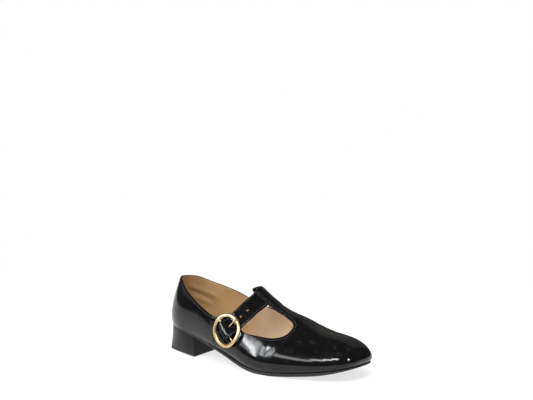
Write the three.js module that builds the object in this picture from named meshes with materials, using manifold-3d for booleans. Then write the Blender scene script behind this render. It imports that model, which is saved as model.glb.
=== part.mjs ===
import * as THREE from 'three';
import { mergeVertices } from 'three/addons/utils/BufferGeometryUtils.js';
import Module from 'manifold-3d';

const wasm = await Module();
wasm.setup();

// Sizes of the shoe in millimetres. X runs from heel to toe, +Y to the inner side of the foot, Z up.
const shoeLength = 250;
const ballWidth = 80;
const instepHeight = 77;
const backHeight = 86;
const heelRise = 27;
const toeSpring = 12;
const upperWall = 1.8;
const seamLap = 0.6;
const barWidth = 18.4;
const barRise = 0.7;
const soleThickness = 3.4;
const soleMargin = 0.8;
const treadFlat = 0.2;
const heelLength = 53;
const breastSkew = 8.6;
const topPieceThickness = 2.6;
const insoleThickness = 2.6;
const strapWidth = 21.4;
const strapThickness = 1.8;
const strapSweep = 20.6;
const strapReach = 61.5;
const strapPastPin = 4;
const strapInnerEnd = 66;
const strapTaut = 2;
const ringWidth = 37;
const ringHeight = 34.5;
const bandWidth = 4.2;
const bandThickness = 2.6;
const pinDiameter = 1.8;
const prongDiameter = 1.5;
const chapeWidth = 14;
const chapeThickness = 0.9;
const chapeTab = 9;
const holeDiameter = 2.2;
const prongHoleUp = 6;
const holeUp = 20.2;
const holeSpacing = 9.8;

// Clearance between pieces that touch, and between layers that bend over each other
const gap = 0.3;
const layerGap = 0.45;

// Places along the shoe's length, and the buckle's place down the strap from the crest
const seamPlace = 90.5;
const throatPlace = 182.5;
const strapPlace = 132.6;
const buckleReach = 62.5;

// A short table's rows as objects with its column names
function table(names, rows) {
  return rows.map((row) => Object.fromEntries(names.map((name, i) => [name, row[i]])));
}

// Sections of the last from heel to toe. Half, centre, crestSide and bulge are shares of the ball width, seat
// of the heel rise, spring of the toe spring, crest of the instep height and sole of the sole's thickness.
// Sides and top say how square a section is, from 2, an ellipse, upwards.
const sections = table(
  ['at', 'half', 'centre', 'seat', 'spring', 'crest', 'crestSide', 'bulge', 'sides', 'top', 'sole'],
  [
    [0.00, 0.300, 0.019, 1.00, 0.00, 1.470, 0.000, 0.028, 2.05, 1.78, 0.60],
    [0.10, 0.336, 0.009, 0.95, 0.00, 1.535, 0.000, 0.033, 2.06, 1.80, 0.60],
    [0.20, 0.366, -0.005, 0.85, 0.00, 1.553, 0.000, 0.041, 2.09, 1.91, 0.62],
    [0.32, 0.376, -0.044, 0.62, 0.00, 1.460, 0.006, 0.058, 2.07, 2.02, 0.74],
    [0.42, 0.373, -0.073, 0.36, 0.00, 1.243, 0.019, 0.061, 2.06, 1.93, 0.88],
    [0.52, 0.423, -0.069, 0.11, 0.00, 0.996, 0.031, 0.053, 1.98, 1.79, 1.00],
    [0.62, 0.488, -0.034, 0.00, 0.00, 0.812, 0.044, 0.043, 1.94, 1.77, 1.00],
    [0.72, 0.501, 0.010, 0.00, 0.09, 0.697, 0.056, 0.036, 2.07, 1.99, 1.00],
    [0.82, 0.474, 0.050, 0.00, 0.33, 0.586, 0.063, 0.031, 2.19, 2.25, 1.00],
    [0.91, 0.435, 0.079, 0.00, 0.60, 0.539, 0.075, 0.030, 2.32, 2.43, 0.88],
    [1.00, 0.389, 0.101, 0.00, 1.00, 0.525, 0.088, 0.028, 2.33, 2.45, 0.50],
  ],
);

// The top line along the shoe, as shares of the back's height, on the outer and the inner side
const topLine = table(
  ['at', 'outer', 'inner'],
  [
    [0.00, 1.000, 1.000],
    [0.05, 0.999, 0.985],
    [0.08, 0.985, 0.955],
    [0.11, 0.945, 0.918],
    [0.14, 0.882, 0.890],
    [0.18, 0.812, 0.864],
    [0.24, 0.728, 0.824],
    [0.30, 0.655, 0.782],
    [0.36, 0.598, 0.735],
    [0.385, 0.594, 0.720],
    [0.41, 0.608, 0.705],
    [0.44, 0.608, 0.686],
    [0.47, 0.556, 0.668],
    [0.52, 0.465, 0.640],
    [0.58, 0.445, 0.570],
    [0.63, 0.437, 0.505],
    [0.69, 0.450, 0.465],
    [0.76, 0.500, 0.500],
  ],
);

// Half of the heel's footprint from the middle of its back to the breast: along as a share of the heel's
// length, half as a share of the ball width
const footprint = table(
  ['at', 'along', 'half'],
  [
    [0.00, -0.085, 0.000],
    [0.08, -0.079, 0.070],
    [0.16, -0.045, 0.118],
    [0.24, 0.030, 0.146],
    [0.40, 0.220, 0.197],
    [0.60, 0.470, 0.248],
    [0.80, 0.720, 0.297],
    [1.00, 0.965, 0.335],
  ],
);

// How far the last's closed ends reach in, as shares of the length, and how square they are in plan
const ends = { heelCap: 0.15, heelPower: 2.25, toeCap: 0.20, toePower: 3.46 };

// The crest stops short of both ends, as shares of the length, and turns softly
const crestLine = { back: 0.192, front: 0.132, soft: 0.036 };

// The height above the feather edge where a section swells most, as a share of its own height
const swellHeight = 0.22;

// The feather edge at the ball: the sole's thickness less the flat that it wears on the ground
const treadHeight = soleThickness + gap - treadFlat;

// How softly the opening's corners turn
const cornerSoft = 4;

// Mesh steps
const stationSteps = 44;
const riseSteps = 14;

// A smooth curve through one column of a table, straight at its two ends
function columnCurve(rows, column) {
  const x = rows.map((row) => row.at);
  const y = rows.map((row) => row[column]);
  const last = x.length - 1;
  const bend = new Array(last + 1).fill(0);
  const work = new Array(last + 1).fill(0);
  for (let i = 1; i < last; i++) {
    const left = x[i] - x[i - 1];
    const right = x[i + 1] - x[i];
    const pivot = 2 * (left + right) - left * work[i - 1];
    const rise = 6 * ((y[i + 1] - y[i]) / right - (y[i] - y[i - 1]) / left);
    work[i] = right / pivot;
    bend[i] = (rise - left * bend[i - 1]) / pivot;
  }
  for (let i = last - 1; i > 0; i--) bend[i] -= work[i] * bend[i + 1];
  return (at) => {
    const t = Math.min(Math.max(at, x[0]), x[last]);
    let i = 0;
    while (i < last - 1 && t > x[i + 1]) i++;
    const span = x[i + 1] - x[i];
    const a = (x[i + 1] - t) / span;
    const b = (t - x[i]) / span;
    const sag = ((a ** 3 - a) * bend[i] + (b ** 3 - b) * bend[i + 1]) * span * span / 6;
    return a * y[i] + b * y[i + 1] + sag;
  };
}

const column = {};
for (const name of Object.keys(sections[0]).slice(1)) column[name] = columnCurve(sections, name);
const topLineCurve = { outer: columnCurve(topLine, 'outer'), inner: columnCurve(topLine, 'inner') };
const footprintCurve = { along: columnCurve(footprint, 'along'), half: columnCurve(footprint, 'half') };

const clamp = (value, low, high) => Math.min(Math.max(value, low), high);
const softStep = (value) => {
  const t = clamp(value, 0, 1);
  return t * t * (3 - 2 * t);
};

// Half-width left near the closed heel and toe ends, from 0 at the very end to 1
function endShare(x) {
  const heel = clamp(1 - x / (ends.heelCap * shoeLength), 0, 1);
  const toe = clamp(1 - (shoeLength - x) / (ends.toeCap * shoeLength), 0, 1);
  const heelShare = (1 - heel ** ends.heelPower) ** (1 / ends.heelPower);
  return heelShare * (1 - toe ** ends.toePower) ** (1 / ends.toePower);
}

// Height of the feather edge, where the upper meets the sole
function featherHeight(x) {
  const t = x / shoeLength;
  return treadHeight + heelRise * column.seat(t) + toeSpring * column.spring(t);
}

// Side is -1 on the outer side of the foot and 1 on the inner side
function featherSide(x, side) {
  const t = x / shoeLength;
  return ballWidth * (column.centre(t) + side * column.half(t) * endShare(x));
}

function crestPlace(x) {
  const soft = crestLine.soft * shoeLength;
  const back = crestLine.back * shoeLength;
  const front = (1 - crestLine.front) * shoeLength;
  return x + soft * Math.log1p(Math.exp((back - x) / soft)) - soft * Math.log1p(Math.exp((x - front) / soft));
}

// A point on the last: x is its station on the outline, rise runs from 0 at the feather edge to 1 at the crest
function lastPoint(x, side, rise) {
  const crestX = crestPlace(x);
  const crestY = ballWidth * column.crestSide(crestX / shoeLength);
  const along = x - crestX;
  const across = featherSide(x, side) - crestY;
  const reach = Math.hypot(along, across);
  const middle = (x + crestX) / 2 / shoeLength;
  const turn = rise * Math.PI / 2;
  const inward = Math.max(Math.cos(turn), 0) ** (2 / column.sides(middle));
  const height = Math.sin(turn) ** (2 / column.top(middle));
  const swelling = (height / swellHeight) * Math.exp(1 - height / swellHeight) * (1 - height ** 6);
  const share = inward + ballWidth * column.bulge(middle) * swelling / reach;
  const pointX = crestX + along * share;
  const base = featherHeight(x);
  const top = instepHeight * column.crest(clamp(pointX / shoeLength, 0, 1));
  return new THREE.Vector3(pointX, crestY + across * share, base + (top - base) * height);
}

// Stations walk the outline from the heel's back round the outer side to the toe and back on the inner side
const outlineWalk = (() => {
  const steps = 1500;
  const xs = [0];
  const lengths = [0];
  for (let i = 1; i <= steps; i++) {
    const x = shoeLength / 2 * (1 - Math.cos(Math.PI * i / steps));
    const t = x / shoeLength;
    const half = ballWidth * column.half(t) * endShare(x);
    const before = xs[i - 1];
    const halfBefore = ballWidth * column.half(before / shoeLength) * endShare(before);
    xs.push(x);
    lengths.push(lengths[i - 1] + Math.hypot(x - before, half - halfBefore));
  }
  return { xs, lengths };
})();

function outlineX(share) {
  const { xs, lengths } = outlineWalk;
  const goal = clamp(share, 0, 1) * lengths[lengths.length - 1];
  let low = 0;
  let high = xs.length - 1;
  while (high - low > 1) {
    const middle = (low + high) >> 1;
    if (lengths[middle] > goal) high = middle;
    else low = middle;
  }
  return xs[low] + (xs[high] - xs[low]) * (goal - lengths[low]) / (lengths[high] - lengths[low]);
}

// The outer side's walk at a place along the shoe
function walkAt(x) {
  let low = 0;
  let high = 1;
  for (let i = 0; i < 40; i++) {
    const middle = (low + high) / 2;
    if (outlineX(middle) < x) low = middle;
    else high = middle;
  }
  return low;
}

// Walk runs from 0 to 2, with 1 at the toe
function walkPlace(walk) {
  const wrapped = ((walk % 2) + 2) % 2;
  return wrapped <= 1 ? { x: outlineX(wrapped), side: -1 } : { x: outlineX(2 - wrapped), side: 1 };
}

function walkPoint(walk, rise) {
  const { x, side } = walkPlace(walk);
  return lastPoint(x, side, rise);
}

function walkNormal(walk, rise) {
  const step = 2e-3;
  const low = clamp(rise - step, 0.004, 1 - step);
  const along = walkPoint(walk + step, rise).sub(walkPoint(walk - step, rise));
  const up = walkPoint(walk, low + step).sub(walkPoint(walk, low));
  return along.cross(up).normalize();
}

// The strap passes between the T-bar and its folded return: heights of the strap's and the return's middles
// over the last
const strapDip = barRise - upperWall - layerGap - strapThickness / 2;
const returnThickness = upperWall * 0.8;
const returnDip = strapDip - strapThickness / 2 - layerGap - returnThickness / 2;
const crestHeight = (x) => instepHeight * column.crest(x / shoeLength);
const crestSlope = (crestHeight(strapPlace + 1) - crestHeight(strapPlace - 1)) / 2;
const strapHalfRun = strapWidth / 2 / Math.hypot(1, crestSlope);
const barEnd = strapPlace - strapHalfRun - 0.9;
const barFade = 9;

function barCentre(x) {
  return ballWidth * (column.crestSide(x / shoeLength) - 0.025);
}

function barHalf(x) {
  const widening = softStep((x - 0.80 * throatPlace) / (0.28 * throatPlace));
  return barWidth / 2 * (1 + 0.9 * widening ** 2);
}

// Steps of the leather's face above the last: the quarter laps over the vamp, and the T-bar rises at its end
function relief(point) {
  const lap = seamLap * softStep((seamPlace - point.x) / 1.2 + 0.5);
  const rising = softStep((strapPlace + strapHalfRun + barFade - point.x) / barFade);
  const forward = softStep((point.x - barEnd + 2 * barFade) / barFade);
  const onBar = softStep((barWidth / 2 + barFade - Math.abs(point.y - barCentre(point.x))) / barFade * 1.5);
  return lap + barRise * rising * forward * onBar;
}

// Above zero where the shoe is open: over the top line, behind the throat and beside the T-bar
function openness(point) {
  const t = point.x / shoeLength;
  const outer = backHeight * topLineCurve.outer(t);
  const inner = backHeight * topLineCurve.inner(t);
  const side = softStep(point.y / (0.2 * ballWidth) + 0.5);
  const above = point.z - outer - (inner - outer) * side;
  const behind = throatPlace - point.x;
  const beside = Math.max(Math.abs(point.y - barCentre(point.x)) - barHalf(point.x), barEnd - point.x);
  const sum = Math.exp(-above / cornerSoft) + Math.exp(-behind / cornerSoft) + Math.exp(-beside / cornerSoft);
  return -cornerSoft * Math.log(sum);
}

function solidFrom(points, triangles) {
  const geometry = new THREE.BufferGeometry();
  const flat = points.flatMap((point) => [point.x, point.y, point.z]);
  geometry.setAttribute('position', new THREE.Float32BufferAttribute(flat, 3));
  geometry.setIndex(triangles.flat());
  const merged = mergeVertices(geometry, 1e-3);
  const kept = [];
  const index = merged.index.array;
  for (let i = 0; i < index.length; i += 3) {
    const [a, b, c] = [index[i], index[i + 1], index[i + 2]];
    if (a !== b && b !== c && c !== a) kept.push(a, b, c);
  }
  return new wasm.Manifold(new wasm.Mesh({
    numProp: 3,
    vertProperties: merged.attributes.position.array,
    triVerts: new Uint32Array(kept),
  }));
}

function toGeometry(solid) {
  const mesh = solid.getMesh();
  const geometry = new THREE.BufferGeometry();
  geometry.setAttribute('position', new THREE.BufferAttribute(mesh.vertProperties, 3));
  geometry.setIndex(new THREE.BufferAttribute(mesh.triVerts, 1));
  geometry.computeVertexNormals();
  return geometry;
}

// A solid from a row of rings with the same even number of points each. Both ends are closed by a strip between
// the ring's first half and its second half, taken backwards.
function loft(rings, closed = false) {
  const count = rings[0].length;
  const points = rings.flat();
  const triangles = [];
  const spans = closed ? rings.length : rings.length - 1;
  for (let i = 0; i < spans; i++) {
    const here = i * count;
    const next = ((i + 1) % rings.length) * count;
    for (let j = 0; j < count; j++) {
      const k = (j + 1) % count;
      triangles.push([here + j, here + k, next + k], [here + j, next + k, next + j]);
    }
  }
  if (!closed) {
    const far = (rings.length - 1) * count;
    for (let j = 0; j < count / 2 - 1; j++) {
      const [a, b, c, d] = [j, j + 1, count - 2 - j, count - 1 - j];
      triangles.push([a, c, b], [a, d, c], [far + a, far + b, far + c], [far + a, far + c, far + d]);
    }
  }
  const solid = solidFrom(points, triangles);
  if (solid.volume() > 0) return solid;
  return solidFrom(points, triangles.map(([a, b, c]) => [a, c, b]));
}

// The upper's outer face is a net over the last, cut at the opening's edge. Net points close to the edge
// move onto it, so that no sliver is left.
function cutNet() {
  const fixedWalks = [walkAt(seamPlace - 0.5), walkAt(seamPlace + 0.5), walkAt(barEnd + 0.02)];
  const half = [];
  for (let i = 0; i <= stationSteps; i++) {
    const walk = i / stationSteps;
    if (fixedWalks.every((fixed) => Math.abs(fixed - walk) > 0.3 / stationSteps)) half.push(walk);
  }
  half.push(...fixedWalks);
  half.sort((a, b) => a - b);
  const walks = [...half, ...half.slice(1, -1).reverse().map((walk) => 2 - walk)];
  const columns = walks.length;
  const partner = (i) => (columns - i) % columns;
  const nodes = walks.map((walk) => {
    const list = [];
    for (let j = 0; j <= riseSteps; j++) {
      const rise = j / riseSteps;
      list.push({ walk, rise, open: openness(walkPoint(walk, rise)), id: -1 });
    }
    return list;
  });
  for (let i = 0; i < columns; i++) {
    if (partner(i) < i) nodes[i][riseSteps] = nodes[partner(i)][riseSteps];
  }

  // A crest point belongs to both sides, and the outline closes on itself at the heel
  const walksOf = (node) => {
    const own = node.rise === 1 ? [node.walk, 2 - node.walk] : [node.walk];
    return own.flatMap((walk) => [walk - 2, walk, walk + 2]);
  };
  const between = (a, b, share) => {
    let best = [a.walk, b.walk];
    for (const from of a.rise === 1 ? [a.walk, 2 - a.walk] : [a.walk]) {
      for (const to of walksOf(b)) {
        if (Math.abs(to - from) < Math.abs(best[1] - best[0])) best = [from, to];
      }
    }
    return { walk: best[0] + (best[1] - best[0]) * share, rise: a.rise + (b.rise - a.rise) * share };
  };
  const crossing = (a, b) => {
    let low = 0;
    let high = 1;
    for (let i = 0; i < 24; i++) {
      const middle = (low + high) / 2;
      const place = between(a, b, middle);
      if (openness(walkPoint(place.walk, place.rise)) > 0 === a.open > 0) low = middle;
      else high = middle;
    }
    return (low + high) / 2;
  };
  const edges = [];
  for (let i = 0; i < columns; i++) {
    for (let j = 0; j <= riseSteps; j++) {
      if (j < riseSteps) edges.push([nodes[i][j], nodes[i][j + 1]]);
      edges.push([nodes[i][j], nodes[(i + 1) % columns][j]]);
    }
  }
  const snap = 0.3;
  const moves = new Map();
  for (const [a, b] of edges) {
    if (a.open > 0 === b.open > 0) continue;
    const share = crossing(a, b);
    const [near, distance] = share < 0.5 ? [a, share] : [b, 1 - share];
    if (distance < snap && !(moves.has(near) && moves.get(near).distance < distance)) {
      moves.set(near, { distance, place: between(a, b, share) });
    }
  }
  for (const [node, move] of moves) Object.assign(node, move.place, { open: 0 });

  const vertices = [];
  const addVertex = (place) => vertices.push({ walk: place.walk, rise: place.rise }) - 1;
  const nodeVertex = (node) => {
    if (node.id < 0) node.id = addVertex(node);
    return node.id;
  };
  const cuts = new Map();
  const cutVertex = (a, b) => {
    const [first, second] = nodeKey(a) < nodeKey(b) ? [a, b] : [b, a];
    const key = nodeKey(first) + '/' + nodeKey(second);
    if (!cuts.has(key)) cuts.set(key, addVertex(between(first, second, crossing(first, second))));
    return cuts.get(key);
  };
  const keys = new Map();
  const nodeKey = (node) => {
    if (!keys.has(node)) keys.set(node, keys.size);
    return keys.get(node);
  };
  const triangles = [];
  for (let i = 0; i < columns; i++) {
    const next = nodes[(i + 1) % columns];
    for (let j = 0; j < riseSteps; j++) {
      const corners = [nodes[i][j], next[j], next[j + 1], nodes[i][j + 1]];
      const polygon = [];
      corners.forEach((corner, k) => {
        const after = corners[(k + 1) % 4];
        if (corner.open <= 0) polygon.push(nodeVertex(corner));
        if (corner.open * after.open < 0) polygon.push(cutVertex(corner, after));
      });
      const ring = polygon.filter((id, k) => id !== polygon[(k + 1) % polygon.length]);
      for (let k = 1; k < ring.length - 1; k++) triangles.push([ring[0], ring[k], ring[k + 1]]);
    }
  }
  const real = triangles.filter(([a, b, c]) => a !== b && b !== c && c !== a);
  return { vertices, triangles: real };
}

// The hollow upper: the net's outer and inner faces and the rims that join them along every edge
function makeUpperShell() {
  const { vertices, triangles } = cutNet();
  const outer = [];
  const inner = [];
  for (const { walk, rise } of vertices) {
    const base = walkPoint(walk, rise);
    const normal = walkNormal(walk, rise);
    if (rise === 0) normal.setZ(0).normalize();
    const face = relief(base);
    outer.push(base.clone().addScaledVector(normal, face));
    inner.push(base.clone().addScaledVector(normal, face - upperWall));
  }
  const count = vertices.length;
  const used = new Set(triangles.flatMap(([a, b, c]) => [`${a},${b}`, `${b},${c}`, `${c},${a}`]));
  const rims = [];
  for (const edge of used) {
    const [a, b] = edge.split(',').map(Number);
    if (used.has(`${b},${a}`)) continue;
    rims.push([b, a, a + count], [b, a + count, b + count]);
  }
  const lining = triangles.map(([a, b, c]) => [a + count, c + count, b + count]);
  return solidFrom([...outer, ...inner], [...triangles, ...rims, ...lining]);
}

// A point of the last by its place along the shoe and across it: -1 at the outer feather edge, 0 at the crest,
// 1 at the inner feather edge
function skinPoint(x, across) {
  return lastPoint(x, across < 0 ? -1 : 1, 1 - Math.min(Math.abs(across), 1));
}

function skinSlopes(x, across) {
  const step = 0.004;
  const middle = clamp(across, step - 1, 1 - step);
  return {
    along: skinPoint(x + 0.5, across).sub(skinPoint(x - 0.5, across)),
    round: skinPoint(x, middle + step).sub(skinPoint(x, middle - step)).divideScalar(2 * step),
  };
}

function skinNormal(x, across) {
  const { along, round } = skinSlopes(x, across);
  return along.cross(round).normalize();
}

// The place on the last that lies closest to a point
function settle(point, start) {
  let { x, across } = start;
  for (let i = 0; i < 8; i++) {
    const { along, round } = skinSlopes(x, across);
    const miss = point.clone().sub(skinPoint(x, across));
    const [aa, ab, bb] = [along.dot(along), along.dot(round), round.dot(round)];
    const [ma, mb] = [along.dot(miss), round.dot(miss)];
    const whole = aa * bb - ab * ab;
    x += (ma * bb - mb * ab) / whole;
    across = clamp(across + (mb * aa - ma * ab) / whole, -0.99, 0.99);
  }
  return { x, across };
}

const overSkin = (place, height) =>
  skinPoint(place.x, place.across).addScaledVector(skinNormal(place.x, place.across), height);

// The strap's middle line, found step by step from the crest. Reach is its length from the crest, positive
// down the outer side.
const strapLine = [-1, 1].map((side) => {
  const places = [{ x: strapPlace, across: 0 }];
  for (let reach = 1; reach <= strapInnerEnd + 4; reach++) {
    const before = places[reach - 1];
    const from = skinPoint(before.x, before.across);
    const x = strapPlace - strapSweep * (reach / strapReach) ** 2;
    let [low, high] = [0, 0.1];
    for (let i = 0; i < 30; i++) {
      const middle = (low + high) / 2;
      if (skinPoint(x, before.across + side * middle).distanceTo(from) < 1) low = middle;
      else high = middle;
    }
    places.push({ x, across: before.across + side * low });
  }
  return places;
});

function strapMiddle(reach) {
  const places = strapLine[reach > 0 ? 0 : 1];
  const length = Math.min(Math.abs(reach), places.length - 1.001);
  const i = Math.floor(length);
  const [a, b, share] = [places[i], places[i + 1], length - i];
  return { x: a.x + (b.x - a.x) * share, across: a.across + (b.across - a.across) * share };
}

function strapFrame(reach) {
  const place = strapMiddle(reach);
  const [before, after] = [strapMiddle(reach - 0.5), strapMiddle(reach + 0.5)];
  const origin = skinPoint(place.x, place.across);
  const normal = skinNormal(place.x, place.across);
  const down = skinPoint(after.x, after.across).sub(skinPoint(before.x, before.across)).normalize();
  const toeward = normal.clone().cross(down).normalize();
  return { place, origin, normal, down, toeward };
}

function strapPoint(reach, width, height) {
  const { place, origin, toeward } = strapFrame(reach);
  return overSkin(settle(origin.addScaledVector(toeward, width), place), height);
}

// The buckle's band lies over the strap and hugs the quarter, and its straight pin spans the band
const buckle = strapFrame(buckleReach);
const bandHeight = gap + strapThickness + gap + bandThickness / 2 + 0.45;
const pinRadius = pinDiameter / 2;
function bandPoint(angle, height = bandHeight, grow = 0) {
  const point = buckle.origin.clone()
    .addScaledVector(buckle.toeward, ((ringWidth - bandWidth) / 2 + grow) * Math.cos(angle))
    .addScaledVector(buckle.down, ((ringHeight - bandWidth) / 2 + grow) * Math.sin(angle));
  return overSkin(settle(point, buckle.place), height);
}

// The pin's frame: up the strap, along the pin towards the toe, and out from the leather
const pin = (() => {
  const ends = [bandPoint(0, bandHeight - 0.4), bandPoint(Math.PI, bandHeight - 0.4)];
  const middle = ends[0].clone().add(ends[1]).multiplyScalar(0.5);
  const toeward = ends[0].clone().sub(ends[1]).normalize();
  const up = buckle.down.clone().negate();
  up.addScaledVector(toeward, -up.dot(toeward)).normalize();
  const out = up.clone().cross(toeward);
  if (out.dot(buckle.normal) < 0) out.negate();
  const height = middle.clone().sub(buckle.origin).dot(buckle.normal);
  return { ends, middle, toeward, up, out, height };
})();
const eyeWire = prongDiameter * 0.33;
const eyeRadius = pinRadius + gap + eyeWire;
const strapOverPin = pin.height + eyeRadius + eyeWire + gap + 0.15;

// Height of the strap's inner face over the last. It is pulled straight from the T-bar to the buckle.
function strapFloor(reach) {
  const out = Math.abs(reach) - barWidth / 2;
  const resting = gap + 0.1;
  const sides = strapDip - strapThickness / 2;
  const climb = ringHeight * 0.32;
  const straight = softStep((reach - barWidth / 2) / 14) * (1 - softStep((reach - 30) / 16));
  return sides + (resting - sides) * softStep((out - 2) / 20) - strapTaut * straight
    + (strapOverPin - resting) * softStep((reach - buckleReach + climb) / climb);
}

// The strap narrows to a round tip
function strapHalf(reach) {
  const tip = strapWidth * 0.22;
  const into = clamp((reach - buckleReach - strapPastPin + tip) / tip, 0, 1);
  return strapWidth / 2 * (1 - 0.45 * into ** 2.4);
}

function ribbonRing(point, half, thickness, columns) {
  const ring = [];
  for (let i = 0; i <= columns; i++) ring.push(point(half * (2 * i / columns - 1), 0));
  for (let i = columns; i >= 0; i--) ring.push(point(half * (2 * i / columns - 1), thickness));
  return ring;
}

function makeStrap() {
  const rings = [];
  const steps = 46;
  for (let i = 0; i <= steps; i++) {
    const reach = -strapInnerEnd + (buckleReach + strapPastPin + strapInnerEnd) * i / steps;
    const floor = strapFloor(reach);
    rings.push(ribbonRing((w, h) => strapPoint(reach, w, floor + h), strapHalf(reach), strapThickness, 4));
  }
  let strap = loft(rings);
  for (const { reach, length } of strapHoles) {
    strap = strap.subtract(punch(reach, length));
  }
  return strap;
}

// The hole that the prong uses is stretched along the strap
const strapHoles = [
  { reach: buckleReach - prongHoleUp, length: holeDiameter * 2.8 },
  { reach: buckleReach - holeUp, length: holeDiameter },
  { reach: buckleReach - holeUp - holeSpacing, length: holeDiameter },
];

function punch(reach, length) {
  const frame = strapFrame(reach);
  const rings = [-4, 9].map((height) => {
    const ring = [];
    for (let i = 0; i < 12; i++) {
      const angle = 2 * Math.PI * i / 12;
      const stretch = Math.sign(Math.round(Math.sin(angle) * 1e6)) * (length - holeDiameter) / 2;
      ring.push(frame.origin.clone()
        .addScaledVector(frame.toeward, holeDiameter / 2 * Math.cos(angle))
        .addScaledVector(frame.down, holeDiameter / 2 * Math.sin(angle) + stretch)
        .addScaledVector(frame.normal, strapFloor(reach) + height));
    }
    return ring;
  });
  return loft(rings);
}

// The T-bar's end folds round the strap's edge, returns beneath it and is sewn to the T-bar's underside again
function makeBarReturn() {
  const outerMiddle = barRise - upperWall / 2;
  const bend = (outerMiddle - returnDip) / 2;
  const path = [{ x: barEnd + 1.5, height: outerMiddle, thick: upperWall / 2 }];
  for (let i = 0; i <= 8; i++) {
    const thick = upperWall - 0.1 - (upperWall - 0.1 - returnThickness) * i / 8;
    path.push({ x: barEnd, turn: Math.PI * i / 8, thick });
  }
  const strapFront = strapPlace + strapHalfRun;
  for (const x of [barEnd + 4, strapPlace, strapFront - 4, strapFront + 1.2]) {
    path.push({ x, height: returnDip, thick: returnThickness });
  }
  path.push({ x: strapFront + 5, height: -upperWall - returnThickness / 2 - 0.3, thick: returnThickness });
  path.push({ x: strapFront + 9, height: -upperWall + 0.2, thick: returnThickness / 2 });
  const rings = path.map(({ x, height, turn = 0, thick }, i) => {
    const back = i > 0 && turn === 0 ? -1 : 1;
    const half = barWidth / 2 - (back < 0 ? 2.6 : turn > 0 ? 1.2 : 0.2);
    const at = (aside, offset) => {
      const y = barCentre(x) + aside;
      const place = settle(new THREE.Vector3(x, y, skinPoint(x, 0).z), { x, across: y / ballWidth });
      if (turn === 0 && i !== 1) return overSkin(place, height + back * offset);
      const behind = skinSlopes(place.x, place.across).along.normalize().negate();
      return overSkin(place, (outerMiddle + returnDip) / 2 + (bend + offset) * Math.cos(turn))
        .addScaledVector(behind, (bend + offset) * Math.sin(turn));
    };
    const ring = [];
    for (let k = 0; k <= 4; k++) ring.push(at(half * (k / 2 - 1), -thick / 2));
    for (let k = 4; k >= 0; k--) ring.push(at(half * (k / 2 - 1), thick / 2));
    return ring;
  });
  return loft(rings);
}

// The feather outline moved outwards by a margin
function outlinePoint(walk, margin) {
  const flat = (place) => new THREE.Vector2(place.x, featherSide(place.x, place.side));
  const step = 1e-3;
  const slope = flat(walkPlace(walk + step)).sub(flat(walkPlace(walk - step))).normalize();
  const here = flat(walkPlace(walk));
  return new THREE.Vector2(here.x + slope.y * margin, here.y - slope.x * margin);
}

function soleBottom(x) {
  const t = clamp(x / shoeLength, 0, 1);
  return Math.max(featherHeight(t * shoeLength) - gap - soleThickness * column.sole(t), 0);
}

// A plate between the two sides of the outline, from one station to the next
function makePlate(margin, bottom, top) {
  const rings = [];
  for (let i = 0; i <= stationSteps; i++) {
    const walk = i / stationSteps;
    const outer = outlinePoint(walk, margin);
    const inner = outlinePoint(2 - walk, margin);
    const corner = (at, height) => new THREE.Vector3(at.x, at.y, height(at.x));
    rings.push([corner(outer, bottom), corner(inner, bottom), corner(inner, top), corner(outer, top)]);
  }
  return loft(rings);
}

// Heel and top piece run from the seat down to the footprint and end in a straight, skewed breast
function makeHeelPart(low, high) {
  const seatWidth = ballWidth * 2 * column.half(heelLength / shoeLength);
  const innerShare = 1 - seatWidth * Math.tan(breastSkew * Math.PI / 180) / heelLength;
  const sides = [
    { side: -1, reach: 1, walk: (share) => walkAt(heelLength) * share },
    { side: 1, reach: innerShare, walk: (share) => 2 - walkAt(heelLength * innerShare) * share },
  ];
  const steps = 14;
  const rings = [];
  for (let i = 0; i <= steps; i++) {
    const at = ({ side, reach, walk }, height) => {
      const share = i / steps;
      const seat = outlinePoint(walk(share), soleMargin);
      const top = soleBottom(seat.x);
      const along = heelLength * footprintCurve.along(share);
      const half = ballWidth * footprintCurve.half(share);
      const foot = new THREE.Vector2(along > 0 ? along * reach : along, side * half);
      const z = height ?? top - gap;
      foot.lerp(seat, z / top);
      return new THREE.Vector3(foot.x, foot.y, z);
    };
    const [outer, inner] = sides;
    rings.push([at(outer, low), at(inner, low), at(inner, high), at(outer, high)]);
  }
  return loft(rings);
}

// A round or oval wire along a path of points, each with its own side and up directions
function wire(path, closed = false, sides = 10) {
  const rings = path.map(({ point, side, up, width, height }) => {
    const ring = [];
    for (let i = 0; i < sides; i++) {
      const angle = 2 * Math.PI * (i + 0.5) / sides;
      ring.push(point.clone()
        .addScaledVector(side, width / 2 * Math.cos(angle))
        .addScaledVector(up, height / 2 * Math.sin(angle)));
    }
    return ring;
  });
  return loft(rings, closed);
}

function makeBuckleFrame() {
  const band = [];
  const steps = 44;
  for (let i = 0; i < steps; i++) {
    const angle = 2 * Math.PI * i / steps;
    const point = bandPoint(angle);
    const side = bandPoint(angle, bandHeight, 1).sub(point).normalize();
    const up = bandPoint(angle, bandHeight + 1).sub(point).normalize();
    band.push({ point, side, up, width: bandWidth, height: bandThickness });
  }
  const bar = pin.ends.map((point) => ({
    point, side: pin.up, up: pin.out, width: pinDiameter, height: pinDiameter,
  }));
  return wire(band, true).add(wire(bar));
}

function pinPoint(up, toeward, out) {
  return pin.middle.clone()
    .addScaledVector(pin.up, up)
    .addScaledVector(pin.toeward, toeward)
    .addScaledVector(pin.out, out);
}

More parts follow.
